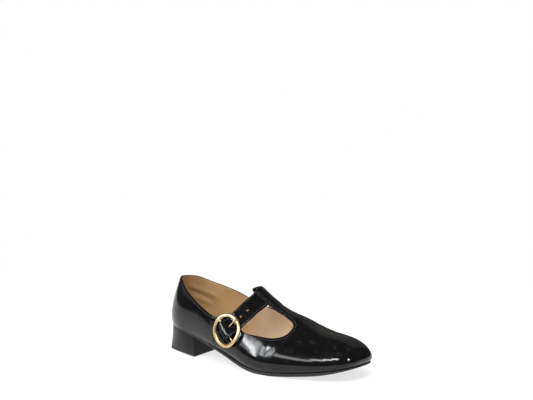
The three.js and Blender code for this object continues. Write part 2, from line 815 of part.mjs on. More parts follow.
function makeProng() {
  const eye = [];
  for (let i = 0; i < 14; i++) {
    const angle = 2 * Math.PI * i / 14;
    const outwards = pinPoint(Math.cos(angle), 0, Math.sin(angle)).sub(pin.middle);
    eye.push({
      point: pinPoint(0, 0, 0).addScaledVector(outwards, eyeRadius),
      side: outwards, up: pin.toeward, width: 2 * eyeWire, height: 2 * eyeWire,
    });
  }
  const crown = bandPoint(-Math.PI / 2).sub(pin.middle);
  const resting = crown.dot(pin.out) + (bandThickness + prongDiameter) / 2 + gap + 0.15;
  const hole = strapPoint(buckleReach - prongHoleUp, 0, 0).sub(pin.middle);
  const lean = hole.dot(pin.toeward) / hole.dot(pin.up);
  const stations = [
    { up: eyeRadius, out: 0, thick: 0.66 },
    { up: 2.6, out: 0.1, thick: 0.72 },
    { up: prongHoleUp - 0.4, out: 1.1, thick: 0.78 },
    { up: prongHoleUp + 2.4, out: resting - 0.1, thick: 0.90 },
    { up: crown.dot(pin.up) - 2.4, out: resting + 0.2, thick: 1.00 },
    { up: crown.dot(pin.up), out: resting, thick: 1.00 },
    { up: crown.dot(pin.up) + 2.4, out: resting - 0.5, thick: 0.80 },
  ];
  const rod = stations.map(({ up, out, thick }) => ({
    point: pinPoint(up, lean * up, out), side: pin.toeward, up: pin.out,
    width: prongDiameter * thick, height: prongDiameter * thick,
  }));
  return wire(eye, true, 8).add(wire(rod, false, 8));
}

// A short leather loop that comes off the quarter, goes round the pin and returns on itself
function makeChape() {
  const lower = gap + chapeThickness / 2 - pin.height;
  const upper = lower + chapeThickness + gap;
  const bend = pinRadius + gap + chapeThickness / 2 + 0.05;
  const coming = { up: -chapeTab / 2, out: lower };
  const going = { up: -chapeTab * 0.62, out: upper + 0.1 };
  const touch = ({ up, out }, turn) => Math.atan2(out, up) + turn * Math.acos(bend / Math.hypot(up, out));
  const from = touch(coming, 1);
  const sweep = (touch(going, -1) - from + 4 * Math.PI) % (2 * Math.PI);
  const path = [{ up: -chapeTab, out: lower }, coming];
  for (let i = 0; i <= 12; i++) {
    const angle = from + sweep * i / 12;
    path.push({ up: bend * Math.cos(angle), out: bend * Math.sin(angle) });
  }
  path.push(going, { up: -chapeTab, out: upper });
  const rings = path.map((here, i) => {
    const before = path[Math.max(i - 1, 0)];
    const after = path[Math.min(i + 1, path.length - 1)];
    const slope = new THREE.Vector2(after.up - before.up, after.out - before.out).normalize();
    return [[-1, -1], [1, -1], [1, 1], [-1, 1]].map(([width, side]) => {
      const shift = side * chapeThickness / 2;
      return pinPoint(here.up - slope.y * shift, width * chapeWidth / 2, here.out + slope.x * shift);
    });
  });
  const slotHalf = eyeWire + gap + 0.1;
  const slot = loft([-1, 1].map((side) => {
    const corners = [[-bend * 1.6, -7], [bend * 2, -7], [bend * 2, 9], [-bend * 1.6, 9]];
    return corners.map(([up, out]) => pinPoint(up, side * slotHalf, out));
  }));
  return loft(rings).subtract(slot);
}

const patent = { color: 0x141416, roughness: 0.12, metalness: 0 };
const gold = { color: 0xd9b878, roughness: 0.25, metalness: 1 };
const tan = { color: 0xb98a5c, roughness: 0.6, metalness: 0 };
const rubber = { color: 0x1e1e21, roughness: 0.5, metalness: 0 };
const pieces = [
  ['upper', makeUpperShell().add(makeBarReturn()), patent],
  ['strap', makeStrap(), patent],
  ['buckle_chape', makeChape(), patent],
  ['buckle_frame', makeBuckleFrame(), gold],
  ['buckle_prong', makeProng(), gold],
  ['insole', makePlate(-upperWall - gap - 0.1, featherHeight, (x) => featherHeight(x) + insoleThickness), tan],
  ['outsole', makePlate(soleMargin, soleBottom, (x) => featherHeight(x) - gap), rubber],
  ['heel', makeHeelPart(topPieceThickness + gap), rubber],
  ['heel_top_piece', makeHeelPart(0, topPieceThickness), rubber],
];

const model = new THREE.Group();
for (const [name, solid, finish] of pieces) {
  const mesh = new THREE.Mesh(toGeometry(solid), new THREE.MeshStandardMaterial(finish));
  mesh.name = name;
  model.add(mesh);
}
const box = new THREE.Box3().setFromObject(model);
model.position.set(-(box.min.x + box.max.x) / 2, -(box.min.y + box.max.y) / 2, -box.min.z);

export default model;
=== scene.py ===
import math

import bpy
import numpy as np
from mathutils import Matrix


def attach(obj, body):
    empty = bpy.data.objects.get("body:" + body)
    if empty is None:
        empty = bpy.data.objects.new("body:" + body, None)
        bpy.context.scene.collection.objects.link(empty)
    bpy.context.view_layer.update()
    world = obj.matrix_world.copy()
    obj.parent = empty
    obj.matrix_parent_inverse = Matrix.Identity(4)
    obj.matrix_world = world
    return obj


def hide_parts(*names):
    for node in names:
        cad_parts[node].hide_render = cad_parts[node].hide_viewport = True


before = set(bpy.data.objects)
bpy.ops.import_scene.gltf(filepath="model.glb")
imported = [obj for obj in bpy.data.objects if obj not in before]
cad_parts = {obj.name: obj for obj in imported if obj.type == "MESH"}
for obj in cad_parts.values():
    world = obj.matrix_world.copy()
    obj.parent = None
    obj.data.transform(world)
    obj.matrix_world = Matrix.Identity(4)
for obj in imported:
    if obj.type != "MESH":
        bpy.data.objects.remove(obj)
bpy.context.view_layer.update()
print("frame loaded:", sorted(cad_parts))

# The shoe's sizes in millimetres, X from heel to toe, +Y to the inner side of the foot
shoe = {
    "length": 250, "ballWidth": 80, "instepHeight": 77, "backHeight": 86, "heelRise": 27, "toeSpring": 12,
    "wall": 1.8, "seamLap": 0.6, "barWidth": 18.4, "barRise": 0.7, "soleThickness": 3.4, "soleMargin": 0.8,
    "treadFlat": 0.2, "insoleThickness": 2.6, "gap": 0.3, "layerGap": 0.45,
    "seamPlace": 90.5, "throatPlace": 182.5, "strapPlace": 132.6, "strapTaut": 2.0, "strapWidth": 21.4,
    "strapThickness": 1.8, "cornerSoft": 4.0,
}
shift = np.array([-123.8, 1.85, 0.0])  # from the shoe's own zero at the heel to the frame's
length, ballWidth, wall, gap = shoe["length"], shoe["ballWidth"], shoe["wall"], shoe["gap"]

sectionNames = ["at", "half", "centre", "seat", "spring", "crest", "crestSide", "bulge", "sides", "top", "sole"]
sectionRows = np.array([
    [0.00, 0.300, 0.019, 1.00, 0.00, 1.470, 0.000, 0.028, 2.05, 1.78, 0.60],
    [0.10, 0.336, 0.009, 0.95, 0.00, 1.535, 0.000, 0.033, 2.06, 1.80, 0.60],
    [0.20, 0.366, -0.005, 0.85, 0.00, 1.553, 0.000, 0.041, 2.09, 1.91, 0.62],
    [0.32, 0.376, -0.044, 0.62, 0.00, 1.460, 0.006, 0.058, 2.07, 2.02, 0.74],
    [0.42, 0.373, -0.073, 0.36, 0.00, 1.243, 0.019, 0.061, 2.06, 1.93, 0.88],
    [0.52, 0.423, -0.069, 0.11, 0.00, 0.996, 0.031, 0.053, 1.98, 1.79, 1.00],
    [0.62, 0.488, -0.034, 0.00, 0.00, 0.812, 0.044, 0.043, 1.94, 1.77, 1.00],
    [0.72, 0.501, 0.010, 0.00, 0.09, 0.697, 0.056, 0.036, 2.07, 1.99, 1.00],
    [0.82, 0.474, 0.050, 0.00, 0.33, 0.586, 0.063, 0.031, 2.19, 2.25, 1.00],
    [0.91, 0.435, 0.079, 0.00, 0.60, 0.539, 0.075, 0.030, 2.32, 2.43, 0.88],
    [1.00, 0.389, 0.101, 0.00, 1.00, 0.525, 0.088, 0.028, 2.33, 2.45, 0.50],
])
topLineRows = np.array([
    [0.00, 1.000, 1.000], [0.05, 0.999, 0.985], [0.08, 0.985, 0.955], [0.11, 0.945, 0.918], [0.14, 0.882, 0.890],
    [0.18, 0.812, 0.864], [0.24, 0.728, 0.824], [0.30, 0.655, 0.782], [0.36, 0.598, 0.735], [0.385, 0.594, 0.720],
    [0.41, 0.608, 0.705], [0.44, 0.608, 0.686], [0.47, 0.556, 0.668], [0.52, 0.465, 0.640], [0.58, 0.445, 0.570],
    [0.63, 0.437, 0.505], [0.69, 0.450, 0.465], [0.76, 0.500, 0.500],
])
footprintRows = np.array([
    [0.00, -0.085, 0.000], [0.08, -0.079, 0.070], [0.16, -0.045, 0.118], [0.24, 0.030, 0.146],
    [0.40, 0.220, 0.197], [0.60, 0.470, 0.248], [0.80, 0.720, 0.297], [1.00, 0.965, 0.335],
])


def columnCurve(at, values):
    count, run = len(at), np.diff(at)
    matrix, goal = np.eye(count), np.zeros(count)
    for i in range(1, count - 1):
        matrix[i, i - 1:i + 2] = run[i - 1], 2 * (run[i - 1] + run[i]), run[i]
        goal[i] = 6 * ((values[i + 1] - values[i]) / run[i] - (values[i] - values[i - 1]) / run[i - 1])
    bend = np.linalg.solve(matrix, goal)

    def curve(t):
        t = np.clip(t, at[0], at[-1])
        i = np.clip(np.searchsorted(at, t, side="right") - 1, 0, count - 2)
        span = run[i]
        a, b = (at[i + 1] - t) / span, (t - at[i]) / span
        sag = ((a ** 3 - a) * bend[i] + (b ** 3 - b) * bend[i + 1]) * span ** 2 / 6
        return a * values[i] + b * values[i + 1] + sag
    return curve


def columns(rows):
    return [columnCurve(rows[:, 0], column) for column in rows.T[1:]]


section = dict(zip(sectionNames[1:], columns(sectionRows)))
topLineOuter, topLineInner = columns(topLineRows)
footAlong, footHalf = columns(footprintRows)
treadHeight = shoe["soleThickness"] + gap - shoe["treadFlat"]


def softStep(value):
    t = np.clip(value, 0, 1)
    return t * t * (3 - 2 * t)


def unit(v):
    return v / np.maximum(np.linalg.norm(v, axis=-1, keepdims=True), 1e-12)


def endShare(x):
    heel = np.clip(1 - x / (0.15 * length), 0, 1)
    toe = np.clip(1 - (length - x) / (0.20 * length), 0, 1)
    return (1 - heel ** 2.25) ** (1 / 2.25) * (1 - toe ** 3.46) ** (1 / 3.46)


def featherHeight(x):
    t = x / length
    return treadHeight + shoe["heelRise"] * section["seat"](t) + shoe["toeSpring"] * section["spring"](t)


def featherSide(x, side):
    t = x / length
    return ballWidth * (section["centre"](t) + side * section["half"](t) * endShare(x))


def crestPlace(x):
    soft, back, front = 0.036 * length, 0.192 * length, (1 - 0.132) * length
    return x + soft * np.log1p(np.exp((back - x) / soft)) - soft * np.log1p(np.exp((x - front) / soft))


# A point on the last: x is its station on the outline, rise runs from 0 at the feather edge to 1 at the crest
def lastPoint(x, side, rise):
    x, side, rise = np.broadcast_arrays(np.asarray(x, float), side, rise)
    crestX = crestPlace(x)
    crestY = ballWidth * section["crestSide"](crestX / length)
    along, across = x - crestX, featherSide(x, side) - crestY
    reach = np.hypot(along, across)
    middle = (x + crestX) / 2 / length
    turn = rise * math.pi / 2
    inward = np.maximum(np.cos(turn), 0) ** (2 / section["sides"](middle))
    height = np.maximum(np.sin(turn), 0) ** (2 / section["top"](middle))
    swelling = height / 0.22 * np.exp(1 - height / 0.22) * (1 - height ** 6)
    share = inward + ballWidth * section["bulge"](middle) * swelling / reach
    pointX = crestX + along * share
    base = featherHeight(x)
    top = shoe["instepHeight"] * section["crest"](np.clip(pointX / length, 0, 1))
    return np.stack([pointX, crestY + across * share, base + (top - base) * height], -1)


walkXs = length / 2 * (1 - np.cos(math.pi * np.arange(1501) / 1500))
walkHalf = ballWidth * section["half"](walkXs / length) * endShare(walkXs)
walkLengths = np.concatenate([[0], np.cumsum(np.hypot(np.diff(walkXs), np.diff(walkHalf)))])
walkLengths /= walkLengths[-1]


def walkAt(x):
    return np.interp(x, walkXs, walkLengths)


# Walk runs from 0 at the heel round the outer side to 1 at the toe and back to 2 on the inner side
def walkPlace(walk):
    wrapped = np.mod(walk, 2)
    outer = wrapped <= 1
    return np.interp(np.where(outer, wrapped, 2 - wrapped), walkLengths, walkXs), np.where(outer, -1.0, 1.0)


def walkPoint(walk, rise):
    x, side = walkPlace(walk)
    return lastPoint(x, side, rise)


def sideNormal(walk, rise):
    step = 1.5e-3
    low = np.clip(rise - step, 0.004, 1 - step)
    along = walkPoint(walk + step, rise) - walkPoint(walk - step, rise)
    return unit(np.cross(along, walkPoint(walk, low + step) - walkPoint(walk, low)))


def walkNormal(walk, rise):
    walk, rise = np.broadcast_arrays(np.asarray(walk, float), rise)
    normal = sideNormal(walk, np.minimum(rise, 0.997))
    other = sideNormal(2 - walk, np.minimum(rise, 0.997))
    near = softStep((rise - 0.985) / 0.015)[..., None] * 0.5
    normal = unit(normal * (1 - near) + other * near)
    level = np.clip(1 - rise / 0.05, 0, 1)[..., None]
    return unit(normal * np.where(np.arange(3) == 2, 1 - level, 1))


strapHalfThickness = shoe["strapThickness"] / 2
strapDip = shoe["barRise"] - wall - shoe["layerGap"] - strapHalfThickness  # the strap's middle, from the last
returnThickness = wall * 0.8
returnDip = strapDip - strapHalfThickness - shoe["layerGap"] - returnThickness / 2
strapPlace = shoe["strapPlace"]
strapAhead, strapBehind = (float(section["crest"]((strapPlace + d) / length)) for d in (1, -1))
strapSlope = shoe["instepHeight"] * (strapAhead - strapBehind) / 2
strapHalfRun = shoe["strapWidth"] / 2 / math.hypot(1, strapSlope)
barEnd = strapPlace - strapHalfRun - 0.9


def barCentre(x):
    return ballWidth * (section["crestSide"](x / length) - 0.025)


def barHalf(x):
    widening = softStep((x - 0.80 * shoe["throatPlace"]) / (0.28 * shoe["throatPlace"]))
    return shoe["barWidth"] / 2 * (1 + 0.9 * widening ** 2)


def relief(p):
    x, y = p[..., 0], p[..., 1]
    lap = shoe["seamLap"] * softStep((shoe["seamPlace"] - x) / 1.2 + 0.5)
    rising = softStep((strapPlace + strapHalfRun + 9 - x) / 9)
    forward = softStep((x - barEnd + 18) / 9)
    onBar = softStep((shoe["barWidth"] / 2 + 9 - np.abs(y - barCentre(x))) / 6)
    return lap + shoe["barRise"] * rising * forward * onBar


# Above zero where the shoe is open. Inset moves the opening's edge into the leather.
def openness(p, inset=0.0):
    x, y, z = p[..., 0], p[..., 1], p[..., 2]
    t, soft = x / length, shoe["cornerSoft"]
    outer, inner = shoe["backHeight"] * topLineOuter(t), shoe["backHeight"] * topLineInner(t)
    above = z - outer - (inner - outer) * softStep(y / (0.2 * ballWidth) + 0.5) + inset
    behind = shoe["throatPlace"] - x + inset
    beside = np.maximum(np.abs(y - barCentre(x)) - barHalf(x) + inset, barEnd - x)
    return -soft * np.log(np.exp(-above / soft) + np.exp(-behind / soft) + np.exp(-beside / soft))


# Soft creases and swellings of the leather, in the shoe's own sizes: place, direction, half lengths and height
creases = {
    "vampSwell": {"at": (176, 6), "turn": 80, "long": 17, "wide": 7.0, "height": 0.45},
    "flexOne": {"at": (170, -24), "turn": 62, "long": 17, "wide": 3.4, "height": -0.32},
    "flexTwo": {"at": (178, -28), "turn": 70, "long": 15, "wide": 3.0, "height": 0.22},
    "flexThree": {"at": (186, -25), "turn": 76, "long": 16, "wide": 3.6, "height": -0.22},
    "innerFlex": {"at": (176, 30), "turn": 104, "long": 16, "wide": 3.4, "height": -0.28},
    "quarterDent": {"at": (118, -36), "turn": 20, "long": 16, "wide": 7.0, "height": -0.35},
    "counterSwell": {"at": (34, -27), "turn": 5, "long": 18, "wide": 12.0, "height": 0.35},
    "toeSwell": {"at": (222, -6), "turn": 96, "long": 20, "wide": 12.0, "height": 0.25},
}


def creased(p):
    total = np.zeros(p.shape[:-1])
    for c in creases.values():
        turn = math.radians(c["turn"])
        dx, dy = p[..., 0] - c["at"][0], p[..., 1] - c["at"][1]
        u, v = dx * math.cos(turn) + dy * math.sin(turn), dy * math.cos(turn) - dx * math.sin(turn)
        total += c["height"] * np.exp(-(u / c["long"]) ** 2 - (v / c["wide"]) ** 2)
    return total


def newObject(name, data):
    made = bpy.data.objects.new(name, data)
    bpy.context.scene.collection.objects.link(made)
    return made


# Meshes are made of points in the shoe's millimetres
def addMesh(name, points, faces, kinds, materials, sharp=50):
    mesh = bpy.data.meshes.new(name)
    mesh.from_pydata(((points + shift) * 0.001).tolist(), [], faces)
    for material in materials:
        mesh.materials.append(material)
    mesh.polygons.foreach_set("material_index", np.asarray(kinds, np.int32))
    mesh.shade_smooth()
    mesh.validate()
    piece = newObject(name, mesh)
    mesh.set_sharp_from_angle(angle=math.radians(sharp))
    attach(piece, "root")
    return piece


# A grid over u and v, cut where openAt is above zero. Grid points near the cut move onto it.
def cutGrid(us, vs, openAt, period=None):
    nu, nv = len(us), len(vs)
    u, v = (a.ravel().copy() for a in np.meshgrid(us, vs, indexing="ij"))
    ids = np.arange(nu * nv).reshape(nu, nv)
    nextIds = np.roll(ids, -1, 0)
    spans = nu if period else nu - 1
    edges = np.concatenate([
        np.stack([ids[:, :-1].ravel(), ids[:, 1:].ravel(), 0 * ids[:, 1:].ravel()], 1),
        np.stack([ids[:spans].ravel(), nextIds[:spans].ravel(), np.repeat(np.arange(spans) == nu - 1, nv)], 1),
    ]).astype(int)
    opened = openAt(u, v)

    def crossing(rows):
        a, b, wrap = rows.T
        ub = u[b] + wrap * (period or 0)
        low, high = np.zeros(len(a)), np.ones(len(a))
        for _ in range(22):
            middle = (low + high) / 2
            same = (openAt(u[a] + (ub - u[a]) * middle, v[a] + (v[b] - v[a]) * middle) > 0) == (opened[a] > 0)
            low, high = np.where(same, middle, low), np.where(same, high, middle)
        share = (low + high) / 2
        return share, u[a] + (ub - u[a]) * share, v[a] + (v[b] - v[a]) * share

    cut = edges[(opened[edges[:, 0]] > 0) != (opened[edges[:, 1]] > 0)]
    share, cu, cv = crossing(cut)
    near = np.where(share < 0.5, cut[:, 0], cut[:, 1])
    distance = np.minimum(share, 1 - share)
    for k in np.argsort(-distance):
        if distance[k] < 0.3:
            back = (period or 0) * (cut[k, 2] and share[k] >= 0.5)
            u[near[k]], v[near[k]], opened[near[k]] = cu[k] - back, cv[k], 0
    cut = edges[opened[edges[:, 0]] * opened[edges[:, 1]] < 0]
    share, cu, cv = crossing(cut)
    cutId = {(min(a, b), max(a, b)): nu * nv + k for k, (a, b, _) in enumerate(cut.tolist())}
    u, v = np.concatenate([u, cu]), np.concatenate([v, cv])

    corners = np.stack([ids[:spans, :-1], nextIds[:spans, :-1], nextIds[:spans, 1:], ids[:spans, 1:]], -1)
    corners = corners.reshape(-1, 4)
    inside = opened[corners] <= 0
    faces = corners[inside.all(1)].tolist()
    for cell in corners[inside.any(1) & ~inside.all(1)].tolist():
        ring = []
        for k in range(4):
            a, b = cell[k], cell[(k + 1) % 4]
            if opened[a] <= 0:
                ring.append(a)
            if opened[a] * opened[b] < 0:
                ring.append(cutId[min(a, b), max(a, b)])
        if len(ring) > 2:
            faces.append(ring)
    return u, v, faces


# Points that lie on each other become one
def weld(points, faces, step=0.002):
    keys = np.round(points / step).astype(np.int64)
    _, first, inverse = np.unique(keys, axis=0, return_index=True, return_inverse=True)
    inverse = inverse.ravel()
    welded = []
    for face in faces:
        ring = [int(first[inverse[i]]) for i in face]
        ring = [a for k, a in enumerate(ring) if a != ring[k - 1]]
        if len(ring) > 2:
            welded.append(ring)
    return welded


def openEdges(faces):
    used = set()
    for face in faces:
        used.update(zip(face, face[1:] + face[:1]))
    return {a: b for a, b in used if (b, a) not in used}


# A sheet with thickness: outer and inner points by index, and a round rim along every open edge
def shell(outer, inner, faces, roundness, rimSteps=6):
    after = openEdges(faces)
    before = {b: a for a, b in after.items()}
    rim = list(after)
    count = len(outer)
    points, slots = [outer, inner], {}
    place = np.array(rim)
    both = outer + inner
    ahead, back = both[[after[i] for i in rim]], both[[before[i] for i in rim]]
    middle, half = both[place] / 2, (outer[place] - inner[place]) / 2
    size = np.linalg.norm(half, axis=1, keepdims=True)
    away = unit(np.cross(ahead - back, half)) * size * roundness[place][:, None]
    for step in range(1, rimSteps):
        turn = math.pi * step / rimSteps
        points.append(middle + half * math.cos(turn) + away * math.sin(turn))
    for k, i in enumerate(rim):
        slots[i] = [i] + [2 * count + step * len(rim) + k for step in range(rimSteps - 1)] + [i + count]
    allFaces, kinds = list(faces), [0] * len(faces)
    for a, b in after.items():
        for step in range(rimSteps):
            allFaces.append([slots[b][step], slots[a][step], slots[a][step + 1], slots[b][step + 1]])
            kinds.append(1 + step)
    for face in faces:
        allFaces.append([i + count for i in reversed(face)])
        kinds.append(rimSteps + 1)
    points = np.concatenate(points)
    used = np.unique(np.concatenate([np.array(f) for f in allFaces]))
    fresh = np.full(len(points), -1)
    fresh[used] = np.arange(len(used))
    return points[used], [fresh[f].tolist() for f in allFaces], np.array(kinds)


def ringFaces(low, high, count):
    return [[low + j, low + (j + 1) % count, high + (j + 1) % count, high + j] for j in range(count)]


# Rings of the same number of points joined into a skin, closed at both ends by a fan
def loft(rings, closed=False):
    rings = np.asarray(rings)
    rows, count = rings.shape[:2]
    points = rings.reshape(-1, 3)
    faces = []
    for i in range(rows if closed else rows - 1):
        faces += ringFaces(i * count, (i + 1) % rows * count, count)
    if not closed:
        middle = len(points)
        points = np.concatenate([points, rings[0].mean(0)[None], rings[-1].mean(0)[None]])
        last = (rows - 1) * count
        faces += [[(j + 1) % count, j, middle] for j in range(count)]
        faces += [[last + j, last + (j + 1) % count, middle + 1] for j in range(count)]
    return points, faces


def joinParts(parts):
    points, faces, start = [], [], 0
    for p, f in parts:
        points.append(p)
        faces += [[i + start for i in face] for face in f]
        start += len(p)
    return np.concatenate(points), faces


# A piece of one material, which stands in for the frame's node that it dresses
def addPiece(name, parts, material, node=None, sharp=50):
    points, faces = joinParts(parts)
    piece = addMesh(name, points, faces, np.zeros(len(faces)), [material], sharp)
    if node:
        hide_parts(node)


def orderLoop(after, start):
    loop, here = [start], after[start]
    while here != start and here in after:
        loop.append(here)
        here = after[here]
    return loop


# Threads lying on the leather: each stitch is a small rod whose ends sink into the surface
def stitchRods(points, normals, pitch, share, radius, closed=False):
    if closed:
        points, normals = (np.concatenate([rows, rows[:1]]) for rows in (points, normals))
    far = np.concatenate([[0], np.cumsum(np.linalg.norm(np.diff(points, axis=0), axis=1))])
    parts = []
    for s in np.linspace(0, far[-1], max(int(far[-1] / pitch), 2) + 1)[:-1]:
        t = s + pitch * share * np.linspace(0, 1, 6)
        core, up = (np.stack([np.interp(t, far, c) for c in rows.T], 1) for rows in (points, normals))
        up = unit(up)
        along = unit(np.gradient(core, axis=0))
        side = unit(np.cross(along, up))
        bow = np.sin(np.linspace(0, math.pi, 6)) ** 0.5
        core = core + up * (radius * (0.55 * bow - 0.7 * (1 - bow)))[:, None]
        thick = radius * (0.45 + 0.55 * bow)
        turn = np.arange(7) * 2 * math.pi / 7
        ring = core[:, None] + thick[:, None, None] * (
            np.cos(turn)[None, :, None] * side[:, None] + np.sin(turn)[None, :, None] * up[:, None])
        parts.append(loft(ring))
    return joinParts(parts)


class Wire:  # a shader socket that can be calculated with
    def __init__(self, tree, socket):
        self.tree, self.socket = tree, socket

    def node(self, kind, settings=None, inputs=None, output=0):
        node = self.tree.nodes.new("ShaderNode" + kind)
        for name, value in (settings or {}).items():
            setattr(node, name, value)
        for name, value in (inputs or {}).items():
            if isinstance(value, Wire):
                self.tree.links.new(value.socket, node.inputs[name])
            else:
                node.inputs[name].default_value = value
        return Wire(self.tree, node.outputs[output])

    def reckon(self, operation, first, second):
        vector = any(isinstance(w, Wire) and w.socket.type == "VECTOR" for w in (first, second))
        if vector:
            ends = [w if isinstance(w, (Wire, tuple)) else (w, w, w) for w in (first, second)]
            return self.node("VectorMath", {"operation": operation}, {0: ends[0], 1: ends[1]})
        return self.node("Math", {"operation": operation}, {0: first, 1: second})

    def between(self, low, high):  # 0 below low, 1 above high
        return self.node("MapRange", {"interpolation_type": "SMOOTHSTEP"},
                         {"Value": self, "From Min": low, "From Max": high})

    def colours(self, dark, light):
        return self.node("Mix", {"data_type": "RGBA"}, {0: self, 6: dark, 7: light}, 2)

    def axis(self, k):
        return self.node("SeparateXYZ", None, {0: self}, k)


def overload(name, operation):
    setattr(Wire, f"__{name}__", lambda self, other: self.reckon(operation, self, other))
    setattr(Wire, f"__r{name}__", lambda self, other: self.reckon(operation, other, self))


overload("add", "ADD")
overload("sub", "SUBTRACT")
overload("mul", "MULTIPLY")
overload("truediv", "DIVIDE")


def newMaterial(name):
    material = bpy.data.materials.new(name)
    material.use_nodes = True
    tree = material.node_tree
    shader = tree.nodes["Principled BSDF"]
    start = Wire(tree, None)
    place = start.node("TexCoord", None, None, "Object")
    return material, shader, place


def feed(shader, **inputs):
    for name, value in inputs.items():
        socket = shader.inputs[name.replace("_", " ")]
        if isinstance(value, Wire):
            value.tree.links.new(value.socket, socket)
        else:
            socket.default_value = value


def scaled(colour, by, more=0.0):
    return tuple(c * by + more for c in colour[:3]) + (1,)


def noise(place, scale, detail=3, rough=0.5):
    return place.node("TexNoise", None, {"Vector": place, "Scale": scale, "Detail": detail, "Roughness": rough})


def bump(place, height, strength, distance):
    return place.node("Bump", None, {"Height": height, "Strength": strength, "Distance": distance})


finish = {
    "patentColour": (0.0028, 0.0028, 0.0030, 1), "patentWorn": (0.010, 0.010, 0.011, 1), "patentRough": 0.11,
    "liningColour": (0.345, 0.212, 0.094, 1), "liningDark": (0.22, 0.128, 0.055, 1),
    # The next colour and its span are painted light: the lining's front part is coloured paler where light falls in
    # through the opening
    "liningPaintedLight": (0.72, 0.57, 0.40, 1), "paintedLightFrom": (-0.050, 0.025),
    "goldColour": (0.88, 0.67, 0.40, 1), "goldDark": (0.58, 0.38, 0.19, 1),
    "soleColour": (0.006, 0.006, 0.007, 1), "heelColour": (0.0022, 0.0022, 0.0025, 1),
    "treadColour": (0.010, 0.010, 0.011, 1), "threadColour": (0.035, 0.035, 0.038, 1),
}


def patentLeather():
    material, shader, place = newMaterial("patentLeather")
    waves = noise(place, 42, 2, 0.45)
    peel = noise(place, 420, 2, 0.5)
    specks = noise(place, 900, 3, 0.6).between(0.66, 0.78)
    worn = noise(place, 120, 4, 0.6).between(0.52, 0.80)
    feed(shader, Base_Color=worn.colours(finish["patentColour"], finish["patentWorn"]),
         Roughness=finish["patentRough"] + 0.05 * worn + 0.10 * specks, Coat_Weight=0.06 - 0.03 * specks,
         Coat_Roughness=0.03, IOR=1.37, Normal=bump(place, waves + 0.12 * peel, 0.09, 0.0008))
    return material


def tanLeather(name, lift=1.0):
    material, shader, place = newMaterial(name)
    cloud = noise(place, 26, 4, 0.6).between(0.30, 0.72)
    pores = place.node("TexVoronoi", {"feature": "F1"}, {"Vector": place, "Scale": 1500.0})
    wrinkle = noise(place, 160, 5, 0.62)
    dark, light = scaled(finish["liningDark"], lift), scaled(finish["liningColour"], lift)
    # Painted light: the lining turns paler towards the front, in place of light falling in through the opening
    # there
    front = place.axis(0).between(*finish["paintedLightFrom"])
    feed(shader, Base_Color=front.colours((0.35 + 0.65 * cloud).colours(dark, light), finish["liningPaintedLight"]),
         Roughness=0.50 + 0.12 * wrinkle, Normal=bump(place, wrinkle + 0.25 * pores, 0.35, 0.0005))
    return material


def polishedGold():
    material, shader, place = newMaterial("paleGold")
    cloud = noise(place, 90, 3, 0.5).between(0.35, 0.75)
    drawn = place.node("Mapping", None, {"Vector": place, "Scale": (1.0, 1.0, 9.0)})
    scratches = noise(drawn, 700, 3, 0.7).between(0.55, 0.75)
    feed(shader, Base_Color=cloud.colours(finish["goldDark"], finish["goldColour"]), Metallic=1.0,
         Roughness=0.30 + 0.12 * scratches, Normal=bump(place, scratches, 0.04, 0.0002))
    return material


def rubber(name, colour, roughness, grain=900, bend=1.45):
    material, shader, place = newMaterial(name)
    cloud = noise(place, 60, 4, 0.6).between(0.35, 0.75)
    fine = noise(place, grain, 3, 0.6)
    feed(shader, Base_Color=cloud.colours(colour, scaled(colour, 1.7, 0.001)), Roughness=roughness + 0.12 * fine,
         IOR=bend, Normal=bump(place, fine, 0.25, 0.0003))
    return material


def thread(colour):
    material, shader, place = newMaterial("darkThread")
    twist = place.node("TexWave", {"bands_direction": "DIAGONAL"},
                       {"Vector": place, "Scale": 900.0, "Distortion": 1.0})
    feed(shader, Base_Color=twist.colours(colour, scaled(colour, 2.2)), Roughness=0.35,
         Normal=bump(place, twist, 0.4, 0.0002))
    return material


patent = patentLeather()
lining = tanLeather("tanLining")
sockLeather = tanLeather("tanSock", lift=1.08)
gold = polishedGold()
soleRubber = rubber("soleRubber", finish["soleColour"], 0.32)
heelCover = rubber("heelCover", finish["heelColour"], 0.24, 1400, 1.19)
treadRubber = rubber("treadRubber", finish["treadColour"], 0.5)
darkThread = thread(finish["threadColour"])
print("materials made")


upperMaking = {
    "stations": 232, "rises": 104, "rimInset": 0.85, "stitchInset": 2.5, "stitchPitch": 2.3, "threadRadius": 0.22,
    "seamRows": (2.0, 4.2), "seamThread": 0.24, "seamKeepsOff": 4.0,
}
stitchShare = 0.72  # of the pitch that a stitch fills


def upperFace(walk, rise):
    base = walkPoint(walk, rise)
    return base + walkNormal(walk, rise) * (relief(base) + creased(base))[..., None]


# The lining lies in soft folds round the heel: walk and rise of both ends, width and height
folds = [
    (1.985, 0.37, 1.80, 0.215, 0.022, 0.8),
    (1.975, 0.33, 1.83, 0.180, 0.010, -0.8),
    (1.970, 0.27, 1.84, 0.150, 0.018, 0.7),
    (0.10, 0.40, 0.22, 0.26, 0.030, 0.50),
]


def liningFolds(walk, rise):
    total = np.zeros(np.shape(walk))
    for fromWalk, fromRise, toWalk, toRise, width, height in folds:
        share = (walk - fromWalk) / (toWalk - fromWalk)
        ends = softStep(share / 0.25) * softStep((1 - share) / 0.25)
        total += height * ends * np.exp(-((rise - fromRise - (toRise - fromRise) * share) / width) ** 2)
    return total


def stationRow(count):
    half = list(np.linspace(0, 1, count + 1))
    fixed = [walkAt(shoe["seamPlace"] + d) for d in (-1.3, -0.8, -0.5, -0.2, 0.1, 0.4, 0.7, 1.1)]
    fixed.append(walkAt(barEnd + 0.02))
    half = [w for w in half if all(abs(w - f) > 0.25 / count for f in fixed)] + fixed
    half.sort()
    return np.array(half + [2 - w for w in reversed(half[1:-1])])


